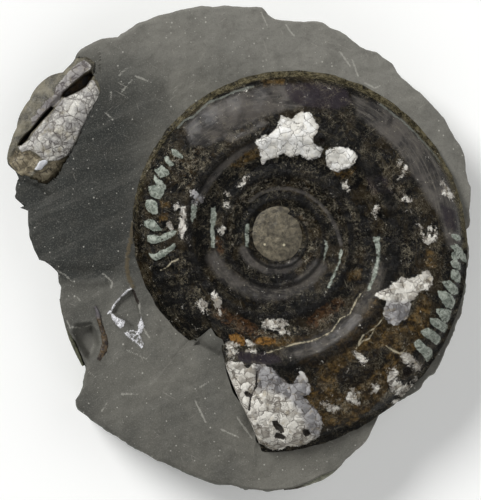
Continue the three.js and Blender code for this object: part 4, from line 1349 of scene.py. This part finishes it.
def second_height(x, y):
    """Upper face of the second ammonite: a strip that falls away, the slot, and the white flank."""
    outline = inside(x, y, SECOND_AMMONITE_OUTLINE)
    slot = patches(x, y, SECOND_SLOT)
    groove = inside(x, y, SECOND_GROOVE)
    axis = from_grid([(17, 146), (92, 74)])
    along = axis[1] - axis[0]
    across = ((x - axis[0, 0]) * along[1] - (y - axis[0, 1]) * along[0]) / np.hypot(*along)
    strip = np.maximum(-across, 0)
    flank = np.maximum(across, 0)
    strip_height = ROCK_TOP + 0.4 - 0.02 * strip ** 2 - 0.1 * strip
    flank_height = ROCK_TOP + 0.5 + 1.5 * smoothstep(flank, 0, 6) - 0.02 * flank ** 2
    height = np.where(across > 0, flank_height, strip_height)
    height -= 0.9 * (1 - smoothstep(outline, 0, 2.0)) ** 2
    brown = smoothstep(inside(x, y, SECOND_BROWN_END), -0.8, 1.2)
    height += brown * (-0.8 + 0.7 * grain(x, y, 3.6, 21.0))
    stained = smoothstep(inside(x, y, SECOND_STAINED_END), -1, 1)
    height += stained * (-1.2 + 0.6 * grain(x, y, 3.0, 23.0))
    height += 0.22 * grain(x, y, 4.0, 25.0) + 0.1 * grain(x, y, 1.4, 27.0)
    height -= np.maximum(5.0 * smoothstep(slot, -0.3, 0.5), 1.3 * smoothstep(groove, -0.8, 0.8))
    return height + 0.9 * smoothstep(inside(x, y, SECOND_BRIGHT_SPOT), -0.3, 0.8)


def second_places(column, ring):
    """Where the second ammonite's vertices lie: out over its upper face, then down its side."""
    outline = from_grid(SECOND_AMMONITE_OUTLINE) - SECOND_CENTRE
    angles = np.degrees(np.arctan2(outline[:, 1], outline[:, 0]))
    order = np.argsort(angles)
    angle = 360 * column / SECOND_COLUMNS
    reach = np.interp(angle, angles[order], np.hypot(*outline.T)[order], period=360)
    top = ring < SECOND_RINGS
    share = np.where(top, 0.02 + 0.98 * (ring / (SECOND_RINGS - 1)) ** 0.8, 1.0)
    down = np.clip((ring - SECOND_RINGS + 1) / SECOND_SIDE_RINGS, 0, 1)
    foot = ring >= SECOND_RINGS + SECOND_SIDE_RINGS
    share = np.where(foot, 0.4, share - 0.35 / reach * smoothstep(down, 0, 0.3))
    x = SECOND_CENTRE[0] + share * (reach - 0.25) * np.cos(np.radians(angle))
    y = SECOND_CENTRE[1] + share * (reach - 0.25) * np.sin(np.radians(angle))
    height = second_height(x, y)
    height = np.where(top, height, height + (SECOND_FOOT - height) * down)
    return x, y, np.where(foot, SECOND_FOOT, np.maximum(height, SECOND_FOOT))


def make_white_shell_material():
    """The second ammonite: brown stone, crackled white calcite and the dark slot."""
    material, tree, shader = new_material("White crackled shell")
    at = object_millimetres(tree)
    mottle = cloudy(tree, at, 0.5, 5, 0.65, 0.6)
    fine = cloudy(tree, at, 2.2, 4, 0.7)
    cloud = cloudy(tree, at, 0.12, 8, 0.75, 0.4)
    sway = use_group(tree, RAGGED_EDGES, Vector=at, Detail=8, Distortion=0.5)["Sway"]
    plates = use_group(tree, CRACKLE, Vector=at, Plate_size=3.2, Crack_width=0.2)

    def zone(name, ragged, low, high):
        """A painted zone with ragged edges."""
        return span(tree, scaled(tree, sway, ragged, mask(tree, name)), low, high)

    stone = mixed(tree, span(tree, cloud, 0.4, 0.6), colour(50, 47, 37), colour(112, 106, 88))
    stone = laid(tree, stone, span(tree, fine, 0.42, 0.62), 0.35, colour(136, 130, 112))
    brown = mixed(tree, plates["Plate tint"], colour(74, 64, 44), colour(182, 170, 142))
    brown = laid(tree, brown, span(tree, mottle, 0.46, 0.62), 0.45, colour(64, 54, 34))
    brown = laid(tree, brown, plates["Crack"], 0.8, colour(26, 20, 12))
    base = mixed(tree, zone("brown", 0.7, 0.35, 0.65), stone, brown)

    calcite = mixed(tree, plates["Plate tint"], colour(150, 146, 140), colour(238, 235, 226))
    shade = span(tree, cloudy(tree, at, 0.2, 6, 0.7, 0.6), 0.46, 0.6)
    calcite = laid(tree, calcite, shade, 0.5, colour(120, 118, 120))
    lilac = times(tree, mask(tree, "lilac"), 0.65, clamp=True)
    calcite = mixed(tree, lilac, calcite, colour(104, 98, 100))
    stain = span(tree, cloudy(tree, at, 0.28, 5, 0.65, 0.5), 0.5, 0.7)
    calcite = laid(tree, calcite, stain, 0.5, colour(150, 138, 104))
    calcite = laid(tree, calcite, plates["Crack"], 0.75, colour(70, 60, 56))

    rock = use_group(tree, ROCK_SIDES, Side=mask(tree, "side"), Sway=times(tree, sway, 0.6),
                     Tone=span(tree, mottle, 0.35, 0.65))
    base = mixed(tree, rock["Amount"], base, rock["Color"])
    white = zone("white", 0.5, 0.4, 0.55)
    base = mixed(tree, white, base, calcite)
    # The slot is painted dark brown, partly the infill and partly painted shade in its deep recess.
    slot = mixed(tree, span(tree, mottle, 0.45, 0.6), colour(18, 12, 8), colour(70, 52, 24))
    base = mixed(tree, mask(tree, "slot"), base, slot)
    bright = mixed(tree, fine, colour(190, 192, 196), colour(246, 247, 250))
    base = mixed(tree, zone("bright", 0.6, 0.3, 0.5), base, bright)
    put(tree, shader.inputs["Base Color"], base)
    put(tree, shader.inputs["Roughness"], span(tree, mottle, 0.3, 0.7, 0.4, 0.65))

    height = plus(tree, times(tree, mottle, 0.8), times(tree, fine, 0.4))
    cracked = times(tree, plates["Height"], 0.9)
    height = plus(tree, height, times(tree, cracked, white))
    bumped(tree, shader, height, 0.7, 0.0005)
    return material


def make_second_ammonite():
    bm = drawn_tube(SECOND_COLUMNS, SECOND_RINGS + SECOND_SIDE_RINGS + 1, second_places)
    material = make_white_shell_material()
    piece = finish_piece(bm, "second_ammonite_shell", "second_ammonite", material)
    x, y, z = corner_places(piece)
    white = patches(x, y, [SECOND_FLANK, SECOND_TOP_PATCH])
    grey = smoothstep(inside(x, y, SECOND_GREY_CRACKLE), -1.5, 1.5)
    white = np.maximum(smoothstep(white, -1, 1), 0.62 * grey)
    add_mask(piece, "white", white * (z > UPPER_SIDE - 1))
    top_patch = smoothstep(inside(x, y, SECOND_TOP_PATCH), -1, 1)
    add_mask(piece, "lilac", np.maximum(top_patch, 1.2 * grey))
    brown = patches(x, y, [SECOND_BROWN_END, SECOND_STAINED_END])
    add_mask(piece, "brown", smoothstep(brown, -1.5, 1.5))
    add_mask(piece, "side", smoothstep(second_height(x, y) - z, 1.2, 4.5))
    # The slot's mask: dark infill and painted shade in the deep recess.
    add_mask(piece, "slot", smoothstep(patches(x, y, SECOND_SLOT), -0.15, 0.25))
    add_mask(piece, "bright", 0.85 * smoothstep(inside(x, y, SECOND_BRIGHT_SPOT), -0.2, 1.2))


# the thin shells at the block's left edge, beside the hollow and at the foot

BAND_COLUMNS = 28
BAND_RINGS = 110


def shell_band(line, widths, low, high, lumps, seed):
    """A thin standing band of shell along a drawn line, with a rounded, broken upper edge."""
    middle = smooth_curve(from_grid(line), BAND_RINGS)
    ahead = np.gradient(middle, axis=0)
    ahead /= np.hypot(*ahead.T)[:, None]
    share = np.linspace(0, 1, BAND_RINGS)
    width = np.interp(share, np.linspace(0, 1, len(widths)), widths) * GRID / 2
    width = width * (1 + lumps * grain(share * 40, share * 0, 3.0, seed))

    def place(column, ring):
        turn = np.radians(360 * (column + 0.5) / BAND_COLUMNS)
        across = np.sign(np.cos(turn)) * np.abs(np.cos(turn)) ** 0.5
        up = np.sign(np.sin(turn)) * np.abs(np.sin(turn)) ** 0.4
        x = middle[ring, 0] - ahead[ring, 1] * across * width[ring]
        y = middle[ring, 1] + ahead[ring, 0] * across * width[ring]
        rough = 1.2 * lumps * grain(x, y, 2.0, seed) * (up > 0)
        z = (low + high) / 2 + up * (high - low) / 2 + rough - 1.2 * lumps * (up > 0)
        return x, y, z

    return drawn_tube(BAND_COLUMNS, BAND_RINGS, place)


def make_band_material(name, dark, light, edge_tone):
    """Mottled thin shell, with another tone along the painted edge."""
    material, tree, shader = new_material(name)
    at = object_millimetres(tree)
    mottle = cloudy(tree, at, 0.7, 6, 0.7, 0.6)
    fine = cloudy(tree, at, 2.6, 3, 0.7)
    base = mixed(tree, span(tree, mottle, 0.36, 0.66), dark, light)
    base = mixed(tree, mask(tree, "edge"), base, edge_tone)
    sway = scaled(tree, mottle, 1.4, -0.7)
    rock = use_group(tree, ROCK_SIDES, Side=mask(tree, "side"), Sway=sway, Tone=fine)
    base = mixed(tree, rock["Amount"], base, rock["Color"])
    put(tree, shader.inputs["Base Color"], base)
    put(tree, shader.inputs["Roughness"], span(tree, fine, 0.3, 0.7, 0.4, 0.65))
    bumped(tree, shader, plus(tree, mottle, times(tree, fine, 0.4)), 0.6, 0.0004)
    return material


def make_thin_shell(name, node, bm, material, buried, edge):
    """A thin shell with rock on its side between the buried heights, and edge's tone on its rim."""
    piece = finish_piece(bm, name, node, material)
    x, y, z = corner_places(piece)
    add_mask(piece, "side", 1 - smoothstep(z, *buried))
    add_mask(piece, "edge", edge(x, y))


def make_thin_shells():
    line = [(59.5, 299), (61, 305), (65, 318), (71, 338), (77, 352), (83, 366)]
    lip = [(61, 303), (66, 313), (69, 325), (74, 338), (80, 352), (84, 360)]
    make_thin_shell(
        "edge_shell_band", "edge_shell",
        shell_band(line, [0.5, 4, 5.2, 5, 5, 2.5], 11.3, 23.6, 0.08, 31.0),
        make_band_material("Olive shell edge", colour(44, 46, 32), colour(84, 84, 62),
                           colour(150, 146, 126)),
        (18.5, 21.5), lambda x, y: strokes(x, y, [lip], 0.5))

    line = [(95, 306.5), (97.5, 312), (99.5, 322), (103, 332), (105, 343), (103, 352), (98.5, 360)]
    upper_end = [(88, 302), (106, 302), (106, 318), (88, 318)]
    make_thin_shell(
        "hollow_shell_wall", "hollow_shell",
        shell_band(line, [3, 5, 4, 6, 7.5, 8, 4], 17.4, 25.0, 0.35, 37.0),
        make_band_material("Brown broken shell", colour(30, 22, 18), colour(92, 74, 48),
                           colour(92, 88, 90)),
        (18.0, 20.0), lambda x, y: smoothstep(inside(x, y, upper_end), -1, 1))

    line = [(284, 490.3), (297, 487), (311, 481), (322, 477), (333, 471), (342, 464.5)]
    dark_end = [(276, 482), (304, 478), (304, 495), (276, 496)]
    make_thin_shell(
        "rim_shell_sliver", "rim_shell",
        shell_band(line, [1, 5, 8, 8, 5.5, 1.5], 12.3, 21.6, 0.1, 41.0),
        make_band_material("Pale shell rim", colour(96, 98, 82), colour(142, 142, 122),
                           colour(64, 58, 44)),
        (17.0, 20.0), lambda x, y: smoothstep(inside(x, y, dark_end), -1, 1))


# camera, light and floor

CAMERA_DISTANCE = 1.5
CAMERA_SENSOR = 36
PHOTO_ROWS = 500  # what the camera sees of the drawing grid, from top to bottom


def make_setting():
    """The camera straight above, a pale floor and soft light that comes from the upper left."""
    scene = bpy.context.scene
    camera = bpy.data.objects.new("Camera", bpy.data.cameras.new("Camera"))
    scene.collection.objects.link(camera)
    scene.camera = camera
    camera.data.sensor_fit = "AUTO"
    camera.data.sensor_width = CAMERA_SENSOR
    camera.data.lens = CAMERA_SENSOR * CAMERA_DISTANCE / (PHOTO_ROWS * GRID * MM)
    camera.location = (0.5 * GRID * MM, 0.6 * GRID * MM, KEEL_HEIGHT * MM + CAMERA_DISTANCE)
    camera.data.clip_end = 20

    floor = bmesh.new()
    bmesh.ops.create_grid(floor, x_segments=1, y_segments=1, size=4)
    mesh = bpy.data.meshes.new("Floor")
    floor.to_mesh(mesh)
    floor.free()
    ground = bpy.data.objects.new("Floor", mesh)
    scene.collection.objects.link(ground)
    paper, _, shader = new_material("Pale paper")
    shader.inputs["Base Color"].default_value = (*colour(242, 242, 240), 1)
    shader.inputs["Roughness"].default_value = 0.9
    shader.inputs["Emission Color"].default_value = (1, 1, 1, 1)
    shader.inputs["Emission Strength"].default_value = 0.16
    mesh.materials.append(paper)

    for name, place, softness, power in (
        ("Window light", (-1.0, 1.0, 1.1), 24, 2.9),
        ("Fill light", (1.2, 0.3, 1.2), 60, 0.7),
        ("Foot light", (0.2, -1.2, 1.1), 60, 0.6),
    ):
        lamp = bpy.data.lights.new(name, "SUN")
        lamp.angle = math.radians(softness)
        lamp.energy = power
        light = bpy.data.objects.new(name, lamp)
        light.location = place
        light.rotation_euler = (-Vector(place)).to_track_quat("-Z", "Y").to_euler()
        scene.collection.objects.link(light)
    world = bpy.data.worlds.new("Studio")
    world.use_nodes = True
    sky = world.node_tree.nodes["Background"].inputs
    sky["Color"].default_value = (0.95, 0.97, 1.0, 1)
    sky["Strength"].default_value = 0.12
    scene.world = world
    scene.view_settings.view_transform = "Standard"


make_setting()
make_limestone()
make_ammonite()
make_second_ammonite()
make_thin_shells()
